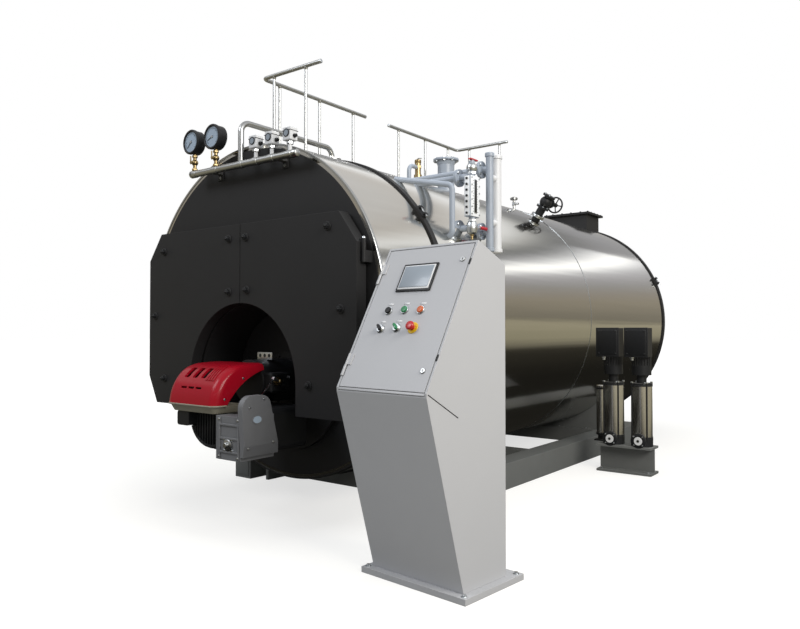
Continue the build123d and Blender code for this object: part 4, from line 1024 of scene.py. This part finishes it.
class BOILER_OT_level_fittings(bpy.types.Operator):
    """Scale, glass, cocks, handles and flange bolts of the water level fittings"""

    bl_idname = "boiler.level_fittings"
    bl_label = "Level fittings"

    def scale(self, sizes, low, high, mid_y):
        """White scale with ticks, the glass in its frame, and the bolts on two sides."""
        glass_low, glass_high = LEVEL_GLASS_Z
        tall, mid_z = glass_high - glass_low, (glass_low + glass_high) / 2
        face = facing(Vector((high.x, mid_y, mid_z)), X)
        scale = Fitting()
        scale.plate((0.118, tall - 0.006, 0.006), moved(face, z=0.003), "scale_enamel", 0.002)
        scale.plate((0.036, tall - 0.05, 0.010), moved(face, z=0.005), "zinc_plate", 0.003)
        scale.plate((0.024, tall - 0.064, 0.003), moved(face, z=0.0105), "black_moulding", 0.001)
        bolts, ticks, edge_bolts = 6, 13, 7
        for side in (-1, 1):
            for number in range(bolts):
                up = (number / (bolts - 1) - 0.5) * (tall - 0.036)
                scale.bolt(moved(face, side * 0.050, up, 0.006), sizes.screw * 0.9, "zinc_plate", False)
            for number in range(ticks):
                wide = 0.016 if number % 3 == 0 else 0.009
                up = (number / (ticks - 1) - 0.5) * (tall - 0.075)
                scale.plate((wide, 0.0024, 0.0008), moved(face, side * (0.020 + wide / 2), up, 0.0063),
                            "black_moulding", 0)
        edge = facing(Vector((high.x - 0.023, low.y, mid_z)), -Y)
        scale.plate((0.040, tall - 0.012, 0.004), moved(edge, z=0.002), "scale_enamel", 0.0015)
        for number in range(edge_bolts):
            up = (number / (edge_bolts - 1) - 0.5) * (tall - 0.05)
            scale.bolt(moved(edge, y=up, z=0.004), sizes.screw * 1.3, "black_cast_paint", False)
        scale.piece("level_scale", "boiler")

    def cocks(self, high, mid_y):
        """Nuts, upper and lower cock bodies, drain spout and red handles."""
        glass_low, glass_high = LEVEL_GLASS_Z
        axis_x = high.x - 0.023
        pipe = 0.0225
        cocks = Fitting()
        for z in (glass_high + 0.012, glass_low - 0.034):
            cocks.collar(upright(axis_x, mid_y, z), 0.024, 0.032, 0, 0.023, 0.003, "zinc_plate", 6)
        upper = upright(axis_x, mid_y, high.z - 0.062)
        cocks.turned([(pipe, -0.02), (0.034, -0.012), (0.040, 0.004), (0.040, 0.020), (0.034, 0.036),
                      (pipe, 0.044), (0.016, 0.062), (0.013, 0.070), (0, 0.070)], upper, "zinc_plate", 24)
        cocks.plate((0.024, 0.105, 0.012), upright(axis_x, mid_y + 0.018, high.z + 0.014),
                    "red_dip_coat", 0.005)
        lower = upright(axis_x, mid_y, LEVEL_ARM_Z)
        cocks.turned([(pipe, -0.05), (0.036, -0.038), (0.041, -0.012), (0.041, 0.012), (0.036, 0.036),
                      (pipe, 0.046)], lower, "zinc_plate", 24)
        cocks.turned([(0, -0.085), (0.010, -0.085), (0.010, -0.06), (0.016, -0.056), (0.016, -0.046)],
                     lower, "cast_brass", 14)
        stem = facing(Vector((axis_x, mid_y + 0.036, LEVEL_ARM_Z)), Y)
        cocks.turned([(0.018, 0), (0.018, 0.016), (0.012, 0.022), (0.012, 0.03), (0, 0.03)], stem,
                     "zinc_plate", 18)
        lever = ((0, 0, 0.024), (-0.004, 0.006, 0.05), (-0.006, 0.010, 0.075))
        grip = ((-0.006, 0.010, 0.070), (-0.008, 0.012, 0.11), (-0.008, 0.010, 0.155))
        cocks.bar([stem @ Vector(point) for point in lever], 0.008, "zinc_plate", 12)
        cocks.bar([stem @ Vector(point) for point in grip], 0.0125, "red_dip_coat", 14)
        cocks.piece("level_cocks", "boiler")

    def flanges(self, sizes, mid_y):
        """Flange bolts and gaskets of the level pipes, and the end caps of the two columns."""
        low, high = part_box("grey_column")
        column_x = high.x - COLUMN_RADIUS["grey_column"]
        column_y = (low.y + high.y) / 2
        gauge_z, column_z = (AXIS_Z + RADIUS * share for share in LEVEL_TOP_SHARES)
        gauge_reach, column_reach = 0.121, 0.060
        flanges = Fitting()
        for y, z, reach in ((mid_y, gauge_z, gauge_reach), (mid_y, LEVEL_ARM_Z, gauge_reach),
                            (column_y, column_z, column_reach), (column_y, LEVEL_ARM_Z, column_reach)):
            place = facing(Vector((column_x - reach, y, z)), X)
            flanges.bolts(place, 0.047, 4, sizes.bolt * 0.9, "zinc_plate", 45)
            flanges.collar(place, 0.0645, 0.062, -0.013, 0.004, 0.0005, "seal_rubber", 36)
        for node, name in (("grey_column", "blue_grey_valve_paint"), ("white_column", "white_moulding")):
            low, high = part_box(node)
            wide = COLUMN_RADIUS[node]
            middle = column_y if node == "grey_column" else high.y - wide
            for z, way in ((high.z, Z), (low.z, -Z)):
                flanges.turned([(wide, -0.03), (wide + 0.007, -0.028), (wide + 0.007, -0.004),
                                (wide + 0.003, 0.001), (wide * 0.5, 0.004), (0, 0.004)],
                               facing(Vector((column_x, middle, z)), way), name, 32)
        flanges.piece("level_flanges", "boiler")

    def execute(self, context):
        sizes = context.scene.boiler_sizes
        low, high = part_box("level_gauge")
        mid_y = (low.y + high.y) / 2
        self.scale(sizes, low, high, mid_y)
        self.cocks(high, mid_y)
        self.flanges(sizes, mid_y)
        return {"FINISHED"}


class BOILER_OT_pump_details(bpy.types.Operator):
    """Stay bolts, ports, terminal box lids and air screws of the feed pumps, and their filter vessel"""

    bl_idname = "boiler.pump_details"
    bl_label = "Pump details"

    def pump(self, sizes, name):
        """Rings, stays, port, terminal box lid and stubs of one pump."""
        low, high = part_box(name + "_barrel")
        centre = (low + high) / 2
        wide = (high.x - low.x) / 2
        stay_circle = wide * 1.06
        pump = Fitting()
        for z, tall in ((low.z, 0.014), (high.z - 0.012, 0.012)):
            pump.collar(upright(centre.x, centre.y, z), wide, wide + 0.006, 0, tall, 0.001,
                        "black_cast_paint", 40)
        for angle in (45, 135, 225, 315):
            turn = math.radians(angle)
            x, y = centre.x + stay_circle * math.cos(turn), centre.y + stay_circle * math.sin(turn)
            pump.bar([(x, y, low.z - 0.02), (x, y, high.z + 0.02)], 0.0075, "black_cast_paint", 10)
            pump.bolt(upright(x, y, high.z + 0.016), 0.012, "zinc_plate", False)
        low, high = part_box(name + "_base")
        port = facing(Vector((centre.x, low.y, low.z + 0.052)), -Y)
        pump.turned([(0.052, -0.022), (0.066, -0.020), (0.066, -0.002), (0.060, 0.002), (0.036, 0.003)],
                    port, "black_cast_paint", 36)
        pump.turned([(0.036, 0.003), (0.034, 0.006), (0, 0.006)], port, "white_moulding", 30)
        pump.turned([(0.012, 0.006), (0.010, 0.009), (0, 0.009)], port, "seal_rubber", 16)
        pump.bolts(port, 0.052, 4, sizes.screw, "zinc_plate", 45)
        low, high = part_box(name + "_motor")
        lid = facing(Vector((centre.x, low.y, high.z - 0.125)), -Y)
        pump.plate((0.206, 0.256, 0.010), moved(lid, z=0.001), "black_cast_paint", 0.004)
        pump.plate((0.170, 0.215, 0.010), moved(lid, z=0.006), "black_moulding", 0.004)
        for u in (-0.075, 0.075):
            for v in (-0.098, 0.098):
                pump.screw(moved(lid, u, v, 0.0105), sizes.screw, "black_cast_paint")
        cable = facing(Vector((centre.x - 0.045, low.y + 0.03, high.z - 0.250)), -Z)
        pump.gland(cable, 0.018, 0.014, -0.001, "zinc_plate", 18)
        air = facing(Vector((centre.x + 0.05, centre.y - 0.055, high.z - 0.48)), -Y)
        pump.gland(air, 0.012, 0.008, -0.01, "zinc_plate", 14)
        details = pump.piece(name + "_details", "boiler")
        # The real sheet shows no clear image of the pumps, so mirrors leave them out
        for shown in (details, *(frame["nodes"][name + part] for part in ("_motor", "_barrel", "_base"))):
            shown.visible_glossy = False

    def filter_vessel(self):
        """Slim vessel beside the first pump: a foot on the stand, a sleeve, a lid and a pipe to the pump."""
        low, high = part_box("pump_1_base")
        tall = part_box("pump_1_barrel")[1].z - low.z - 0.024
        sleeve, ring = 0.046, 0.050
        vessel = Fitting()
        spot = upright(low.x - 0.055, high.y - 0.010, low.z)
        vessel.plate((0.150, 0.100, 0.014), moved(spot, 0.020, z=0.007), "black_cast_paint", 0.004)
        vessel.turned([(0.034, 0.012), (0.034, 0.050), (ring, 0.054), (ring, 0.070), (sleeve, 0.074)], spot,
                      "black_cast_paint", 36)
        vessel.turned([(sleeve, 0.070), (sleeve, tall - 0.034)], spot, "polished_sleeve", 40)
        vessel.collar(spot, sleeve, ring, tall - 0.038, 0.018, 0.002, "black_cast_paint", 36)
        vessel.turned([(sleeve, tall - 0.022), (0.047, tall - 0.006), (0.040, tall), (0, tall + 0.002)],
                      spot, "polished_sleeve", 36)
        pipe = ((0.020, -0.010, 0.032), (0.075, -0.040, 0.032))
        vessel.bar([spot @ Vector(point) for point in pipe], 0.017, "black_cast_paint", 16)
        vessel.piece("filter_vessel", "boiler").visible_glossy = False

    def stand_bolts(self, sizes):
        """Bolts through the lower flange of the pump stand."""
        low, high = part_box("pump_stand")
        flange = 0.020
        stand = Fitting()
        for x in (low.x + 0.035, high.x - 0.035):
            for y in (low.y + 0.03, high.y - 0.03):
                stand.bolt(upright(x, y, low.z + flange), sizes.bolt, "zinc_plate")
        stand.piece("stand_bolts", "boiler")

    def execute(self, context):
        sizes = context.scene.boiler_sizes
        for name in ("pump_1", "pump_2"):
            self.pump(sizes, name)
        self.filter_vessel()
        self.stand_bolts(sizes)
        return {"FINISHED"}


class BOILER_OT_console_details(bpy.types.Operator):
    """Screen, buttons, locks, panel seal and plinth bolts of the control console"""

    bl_idname = "boiler.console_details"
    bl_label = "Console details"

    def controls(self, button):
        """Screen, push buttons, selectors, stop button, locks and blank label plates on the hinged panel."""
        panel = Fitting()
        screen = on_panel(0.277, 0.612)
        panel.plate((0.226, 0.160, 0.008), moved(screen, z=0.004), "black_moulding", 0.003)
        panel.plate((0.204, 0.138, 0.006), moved(screen, z=0.0075), "white_moulding", 0.002)
        panel.plate((0.190, 0.122, 0.003), moved(screen, y=0.002, z=0.0105), "display_glass", 0.001)
        bezel = [(button + 0.006, 0), (button + 0.006, 0.004), (button + 0.003, 0.007)]
        for u, v, name in ((0.165, 0.425, "black_moulding"), (0.272, 0.428, "green_moulding"),
                           (0.377, 0.426, "amber_moulding")):
            place = on_panel(u, v)
            panel.turned(bezel + [(button, 0.007)], place, "zinc_plate", 30)
            panel.turned([(button, 0.004), (button, 0.011), (button * 0.85, 0.0135), (0, 0.0145)],
                         place, name, 28)
        for u, v, name in ((0.156, 0.323, "black_moulding"), (0.263, 0.328, "green_moulding")):
            place = on_panel(u, v)
            panel.turned(bezel + [(button, 0.012), (0, 0.012)], place, "zinc_plate", 30)
            panel.plate((0.012, 0.036, 0.016), moved(spun(place, 40), z=0.018), name, 0.003)
        stop = on_panel(0.367, 0.328)
        panel.plug(stop, 0.030, 0.028, 0, 0.003, 0.004, "yellow_moulding", 40)
        panel.turned([(0.0145, 0.004), (0.0145, 0.014), (0.021, 0.020), (0.023, 0.027), (0.020, 0.034),
                      (0.010, 0.037), (0, 0.0375)], stop, "red_moulding", 36)
        for u, v in ((0.530, 0.702), (0.521, 0.109)):
            lock = on_panel(u, v)
            panel.plug(lock, 0.014, 0.012, 0, 0.003, 0.005, "drawn_steel_tube", 28)
            # Painted shade: a thin dark plate stands for the key slot in the lock
            panel.plate((0.003, 0.012, 0.002), moved(lock, z=0.005), "seal_rubber", 0.0005)
        for u, v in ((0.165, 0.462), (0.272, 0.464), (0.377, 0.462), (0.156, 0.362), (0.263, 0.366)):
            panel.plate((0.034, 0.011, 0.0012), on_panel(u, v, 0.0005), "white_moulding", 0.0004)
        panel.piece("console_controls", "console_panel")

    def panel_seal(self):
        """Strips in the gap round the hinged panel, the lip below it, hinge marks and the side's fold."""
        seal = Fitting()
        wide, tall = CONSOLE_WIDTH - 0.034, SLOPE_LENGTH - 0.022
        strip, sunk = 0.004, -0.010
        middle_u, middle_v = CONSOLE_WIDTH / 2, 0.398
        for u, v, across, up, name in ((middle_u, 0.7913, wide, strip, "console_powder_coat"),
                                       (0.0145, middle_v, strip, tall, "console_powder_coat"),
                                       (0.5715, middle_v, strip, tall, "seal_rubber")):
            seal.plate((across, up, strip), on_panel(u, v, sunk), name, 0.001)
        seal.plate((wide + 0.006, 0.013, 0.020), on_panel(middle_u, -0.0035, -0.012),
                   "console_powder_coat", 0.002)
        for v in (0.176, 0.686):
            seal.plate((0.010, 0.034, 0.012), on_panel(0.578, v, -0.004), "black_moulding", 0.002)
        fold = [console_point(CONSOLE_WIDTH, depth, height)
                for depth, height in ((-0.249, 0.964), (-0.039, 0.845))]
        seal.bar(fold, 0.0024, "seal_rubber", 8)
        seal.piece("panel_seal", "boiler")

    def fixings(self, bolt):
        """Bolts at the corners of the plinth."""
        plinth_top = 0.030
        plinth = Fitting()
        for u in (-0.02, CONSOLE_WIDTH + 0.02):
            for depth in (-0.02, 0.40):
                plinth.bolt(Matrix.Translation(console_point(u, depth, plinth_top)), bolt, "zinc_plate")
        plinth.piece("console_fixings", "boiler")

    def execute(self, context):
        sizes = context.scene.boiler_sizes
        self.controls(sizes.button)
        self.panel_seal()
        self.fixings(sizes.bolt)
        return {"FINISHED"}


class BOILER_OT_frame_details(bpy.types.Operator):
    """Weld beads, end plates, pads and bolts of the base frame"""

    bl_idname = "boiler.frame_details"
    bl_label = "Frame details"

    def welds(self):
        """Beads where the cross-members meet the beams, and plates on the beams' ends."""
        welds = Fitting()
        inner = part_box("right_beam")[0].x
        lug_reach, bead = 0.230, 0.005
        for node in ("front_cross_member", "middle_cross_member", "rear_cross_member"):
            low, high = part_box(node)
            near = low.y + lug_reach if node == "front_cross_member" else low.y
            for x in (-inner, inner):
                for y in (near, high.y):
                    welds.bar([(x, y, 0.004), (x, y, high.z)], bead, "grey_machine_enamel", 8)
                welds.bar([(x, near, high.z), (x, high.y, high.z)], bead, "grey_machine_enamel", 8)
        for node in ("left_beam", "right_beam"):
            low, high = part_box(node)
            middle = (low + high) / 2
            for y, way in ((low.y, -Y), (high.y, Y)):
                end = facing(Vector((middle.x, y, middle.z)), way)
                welds.plate((0.150, 0.150, 0.006), moved(end, z=0.003), "grey_machine_enamel", 0.002)
        welds.piece("frame_welds", "boiler")

    def saddle_pads(self, bolt):
        """Bolted pads under the feet of the saddles."""
        pads = Fitting()
        for node in ("front_saddle", "rear_saddle"):
            low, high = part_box(node)
            middle = (low.y + high.y) / 2
            for x in (-0.30, -0.62, 0.30, 0.62):
                place = upright(x, middle, low.z + 0.004)
                pads.plate((0.10, 0.112, 0.008), place, "grey_machine_enamel", 0.002)
                for y in (-0.040, 0.040):
                    pads.bolt(moved(place, y=y, z=0.004), bolt * 0.8, "zinc_plate", False)
        pads.piece("saddle_pads", "boiler")

    def execute(self, context):
        self.welds()
        self.saddle_pads(context.scene.boiler_sizes.bolt)
        return {"FINISHED"}


class BOILER_OT_rear_fittings(bpy.types.Operator):
    """Cover bolts and sight port on the rear chamber"""

    bl_idname = "boiler.rear_fittings"
    bl_label = "Rear fittings"

    def execute(self, context):
        sizes = context.scene.boiler_sizes
        low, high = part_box("rear_chamber")
        behind, middle = high.y + 1, (low.z + high.z) / 2
        circle, count = (high.x - low.x) / 2 - 0.07, 32
        rear = Fitting()
        for number in range(count):
            turn = 2 * math.pi * (number + 0.5) / count
            spot = Vector((circle * math.cos(turn), behind, middle + circle * math.sin(turn)))
            place, out = hit("rear_chamber", spot, -Y)
            rear.bolt(facing(place, out), sizes.bolt * 1.5, "black_cast_paint")
        port = facing(*hit("rear_chamber", Vector((0, behind, FURNACE_Z)), -Y))
        rear.turned([(0.085, -0.001), (0.085, 0.016), (0.080, 0.020), (0.050, 0.020), (0.046, 0.010)], port,
                    "black_cast_paint", 40)
        rear.turned([(0.047, 0.010), (0.030, 0.0115), (0, 0.012)], port, "display_glass", 36)
        rear.bolts(moved(port, z=0.020), 0.066, 6, sizes.screw * 1.2, "zinc_plate")
        rear.piece("rear_cover_bolts", "boiler")
        return {"FINISHED"}


def stage_material(name):
    """Empty node tree of a new material for the stage."""
    made = bpy.data.materials.new(name)
    made.use_nodes = True
    made.node_tree.nodes.clear()
    made.cycles.emission_sampling = "NONE"
    return made.node_tree


def seen_directly(tree):
    """Socket that is 1 for rays from the camera, off mirrors and through glass, and 0 for light."""
    rays = put(tree, "ShaderNodeLightPath").outputs
    seen = put(tree, "ShaderNodeMath", {0: rays["Is Camera Ray"], 1: rays["Is Glossy Ray"]}, operation="ADD")
    return put(tree, "ShaderNodeMath", {0: seen.outputs[0], 1: rays["Is Transmission Ray"]}, operation="ADD",
               use_clamp=True).outputs[0]


class BOILER_OT_stage(bpy.types.Operator):
    """Pale floor, soft studio light and the camera"""

    bl_idname = "boiler.stage"
    bl_label = "Stage"

    def card(self, scene, name, shape, material):
        """Sheet of the stage from a built shape."""
        data = bpy.data.meshes.new(name)
        shape.to_mesh(data)
        shape.free()
        data.materials.append(bpy.data.materials[material])
        made = bpy.data.objects.new(name, data)
        scene.collection.objects.link(made)
        return made

    def ground(self, scene, name, material, lift):
        """Square sheet near the floor's height."""
        shape = bmesh.new()
        bmesh.ops.create_grid(shape, x_segments=1, y_segments=1, size=FLOOR_HALF)
        made = self.card(scene, name, shape, material)
        made.location.z = CAD_BOX[0].z + lift
        return made

    def graded(self, tree, value, span, stops, strength):
        """Glow of a stage sheet, graded by stops of (value, sRGB hex)."""
        share = put(tree, "ShaderNodeMath", {0: value, 1: span}, operation="DIVIDE").outputs[0]
        ramp = put(tree, "ShaderNodeValToRGB", {"Fac": share})
        marks = ramp.color_ramp.elements
        while len(marks) < len(stops):
            marks.new(0.5)
        for mark, (at, code) in zip(marks, stops):
            mark.position = at / span
            mark.color = shade(linear(code), 1)
        glow = put(tree, "ShaderNodeEmission", {"Color": ramp.outputs["Color"], "Strength": strength})
        put(tree, "ShaderNodeOutputMaterial", {"Surface": glow.outputs[0]})

    def pale_floor(self, scene):
        """Floor with a soft shadow near the object, plain white to the camera and in mirrors further out."""
        tree = stage_material("pale_floor")
        seen = seen_directly(tree)
        where = put(tree, "ShaderNodeTexCoord").outputs["Object"]
        away = put(tree, "ShaderNodeVectorMath", {0: where}, operation="LENGTH").outputs["Value"]
        pale = put(tree, "ShaderNodeMapRange", {"Value": away, "From Min": 2.5, "From Max": 9.0,
                                                "To Min": 0.67, "To Max": 1.0}, clamp=True).outputs["Result"]
        level = put(tree, "ShaderNodeMath", {0: pale, 1: seen}, operation="MULTIPLY").outputs[0]
        glow = put(tree, "ShaderNodeEmission", {"Color": (1, 1, 1, 1), "Strength": level})
        plain = put(tree, "ShaderNodeBsdfDiffuse", {"Color": shade(linear("#A6A49E"), 1)})
        both = put(tree, "ShaderNodeAddShader", {0: plain.outputs[0], 1: glow.outputs[0]})
        put(tree, "ShaderNodeOutputMaterial", {"Surface": both.outputs[0]})
        self.ground(scene, "floor", "pale_floor", FLOOR_DROP)

    def shaded_mirror_floor(self, scene):
        """Glowing floor sheet for mirrors, with painted shadow: dark near the middle line, under the shell.
        """
        tree = stage_material("shaded_mirror_floor")
        where = put(tree, "ShaderNodeTexCoord").outputs["Object"]
        across = put(tree, "ShaderNodeSeparateXYZ", {0: where}).outputs["X"]
        across = put(tree, "ShaderNodeMath", {0: across}, operation="ABSOLUTE").outputs[0]
        self.graded(tree, across, SHADED_MIRROR_FLOOR[-1][0], SHADED_MIRROR_FLOOR, MIRROR_FLOOR_GLOW)
        return self.ground(scene, "shaded_mirror_floor", "shaded_mirror_floor", MIRROR_FLOOR_LIFT)

    def half_sky(self, scene, name, first, stops):
        """Half of a wide glowing dome from a heading on, graded by height above the horizon: painted
        reflections for mirrors.
        """
        tree = stage_material(name)
        where = put(tree, "ShaderNodeTexCoord").outputs["Object"]
        way = put(tree, "ShaderNodeVectorMath", {0: where}, operation="NORMALIZE").outputs["Vector"]
        height = put(tree, "ShaderNodeSeparateXYZ", {0: way}).outputs["Z"]
        angle = put(tree, "ShaderNodeMath", {0: height}, operation="ARCSINE").outputs[0]
        angle = put(tree, "ShaderNodeMath", {0: angle, 1: math.radians(-SKY_FOOT)},
                    operation="ADD").outputs[0]
        self.graded(tree, angle, math.radians(90 - SKY_FOOT), tuple(
            (math.radians(turn - SKY_FOOT), code) for turn, code in stops), SKY_GLOW)
        half = bmesh.new()
        rings = []
        for lift in range(SKY_FOOT, 91, SKY_STEP):
            flat, up = SKY_RADIUS * math.cos(math.radians(lift)), SKY_RADIUS * math.sin(math.radians(lift))
            headings = [math.radians(first + turn) for turn in range(0, 181, 2 * SKY_STEP)]
            rings.append([half.verts.new((flat * math.cos(turn), flat * math.sin(turn), up))
                          for turn in headings])
        for low, high in zip(rings, rings[1:]):
            for step in range(len(low) - 1):
                half.faces.new((low[step], low[step + 1], high[step + 1], high[step]))
        made = self.card(scene, name, half, name)
        made.location.z = AXIS_Z
        return made

    def studio_world(self, scene):
        """World that is white to the camera and in mirrors, and softer as a light."""
        world = bpy.data.worlds.new("studio")
        scene.world = world
        world.use_nodes = True
        tree = world.node_tree
        tree.nodes.clear()
        soft = put(tree, "ShaderNodeBackground", {"Color": (0.94, 0.97, 1.0, 1), "Strength": 0.34})
        white = put(tree, "ShaderNodeBackground", {"Color": (1, 1, 1, 1), "Strength": 1.0})
        mixed = put(tree, "ShaderNodeMixShader", {0: seen_directly(tree), 1: soft.outputs[0],
                                                  2: white.outputs[0]})
        put(tree, "ShaderNodeOutputWorld", {"Surface": mixed.outputs[0]})

    def lamps(self, scene):
        """Soft boxes over, beside and in front of the boiler."""
        for name, (place, aim, size, power, colour, mirrored) in LAMPS.items():
            lamp = bpy.data.lights.new(name, "AREA")
            lamp.shape = "RECTANGLE"
            lamp.size, lamp.size_y = size
            lamp.energy = power
            lamp.color = linear(colour)
            holder = bpy.data.objects.new(name, lamp)
            scene.collection.objects.link(holder)
            holder.location = place
            holder.rotation_euler = (Vector(aim) - Vector(place)).to_track_quat("-Z", "Y").to_euler()
            holder.visible_glossy = mirrored

    def camera(self, scene):
        """Camera at the photograph's viewing angle."""
        lens = bpy.data.cameras.new("camera")
        lens.sensor_width = CAMERA_SENSOR
        lens.lens = CAMERA_LENS
        lens.clip_end = CAMERA_REACH
        eye = bpy.data.objects.new("camera", lens)
        scene.collection.objects.link(eye)
        eye.location = CAMERA_PLACE
        eye.rotation_euler = (math.radians(CAMERA_TILT), 0, math.radians(CAMERA_HEADING))
        scene.camera = eye

    def execute(self, context):
        scene = context.scene
        scene.view_settings.view_transform = "Standard"
        self.pale_floor(scene)
        # Only mirrors see the floor sheet and the wide sky: painted reflections of a hall round a machine,
        # with painted highlight strips and the painted shadow under the shell
        for card in (self.shaded_mirror_floor(scene),
                     self.half_sky(scene, "bright_side", -90, LOW_SKY + LIGHT_STRIP + HIGH_SKY),
                     self.half_sky(scene, "plain_side", 90, LOW_SKY + PLAIN_STRIP + HIGH_SKY)):
            card.visible_camera = False
            card.visible_diffuse = False
            card.visible_transmission = False
            card.visible_shadow = False
        self.studio_world(scene)
        self.lamps(scene)
        self.camera(scene)
        return {"FINISHED"}


STEPS = ("stage", "finishes", "door_clamps", "jacket_trim", "burner_details", "gauges", "rail_feet",
         "top_fittings", "level_fittings", "pump_details", "console_details", "frame_details",
         "rear_fittings")


class BOILER_PT_panel(bpy.types.Panel):
    """Lists the boiler's colours, sizes and making steps"""

    bl_idname = "BOILER_PT_panel"
    bl_label = "Steam Boiler"
    bl_space_type = "VIEW_3D"
    bl_region_type = "UI"
    bl_category = "Boiler"

    def draw(self, context):
        layout = self.layout
        for group in (context.scene.boiler_colours, context.scene.boiler_sizes):
            for key in group.__annotations__:
                layout.prop(group, key)
        for step in STEPS:
            layout.operator("boiler." + step)


CLASSES = (BoilerColours, BoilerSizes, BOILER_OT_stage, BOILER_OT_finishes, BOILER_OT_door_clamps,
           BOILER_OT_jacket_trim, BOILER_OT_burner_details, BOILER_OT_gauges, BOILER_OT_rail_feet,
           BOILER_OT_top_fittings, BOILER_OT_level_fittings, BOILER_OT_pump_details,
           BOILER_OT_console_details, BOILER_OT_frame_details, BOILER_OT_rear_fittings, BOILER_PT_panel)


def register():
    """Registers the classes and hangs the property groups on the scene."""
    for kind in CLASSES:
        bpy.utils.register_class(kind)
    bpy.types.Scene.boiler_colours = PointerProperty(type=BoilerColours)
    bpy.types.Scene.boiler_sizes = PointerProperty(type=BoilerSizes)


def unregister():
    """Takes the property groups and the classes away again."""
    del bpy.types.Scene.boiler_sizes
    del bpy.types.Scene.boiler_colours
    for kind in reversed(CLASSES):
        bpy.utils.unregister_class(kind)


def main():
    """Makes everything."""
    register()
    for step in STEPS:
        getattr(bpy.ops.boiler, step)()


if __name__ == "__main__":
    main()
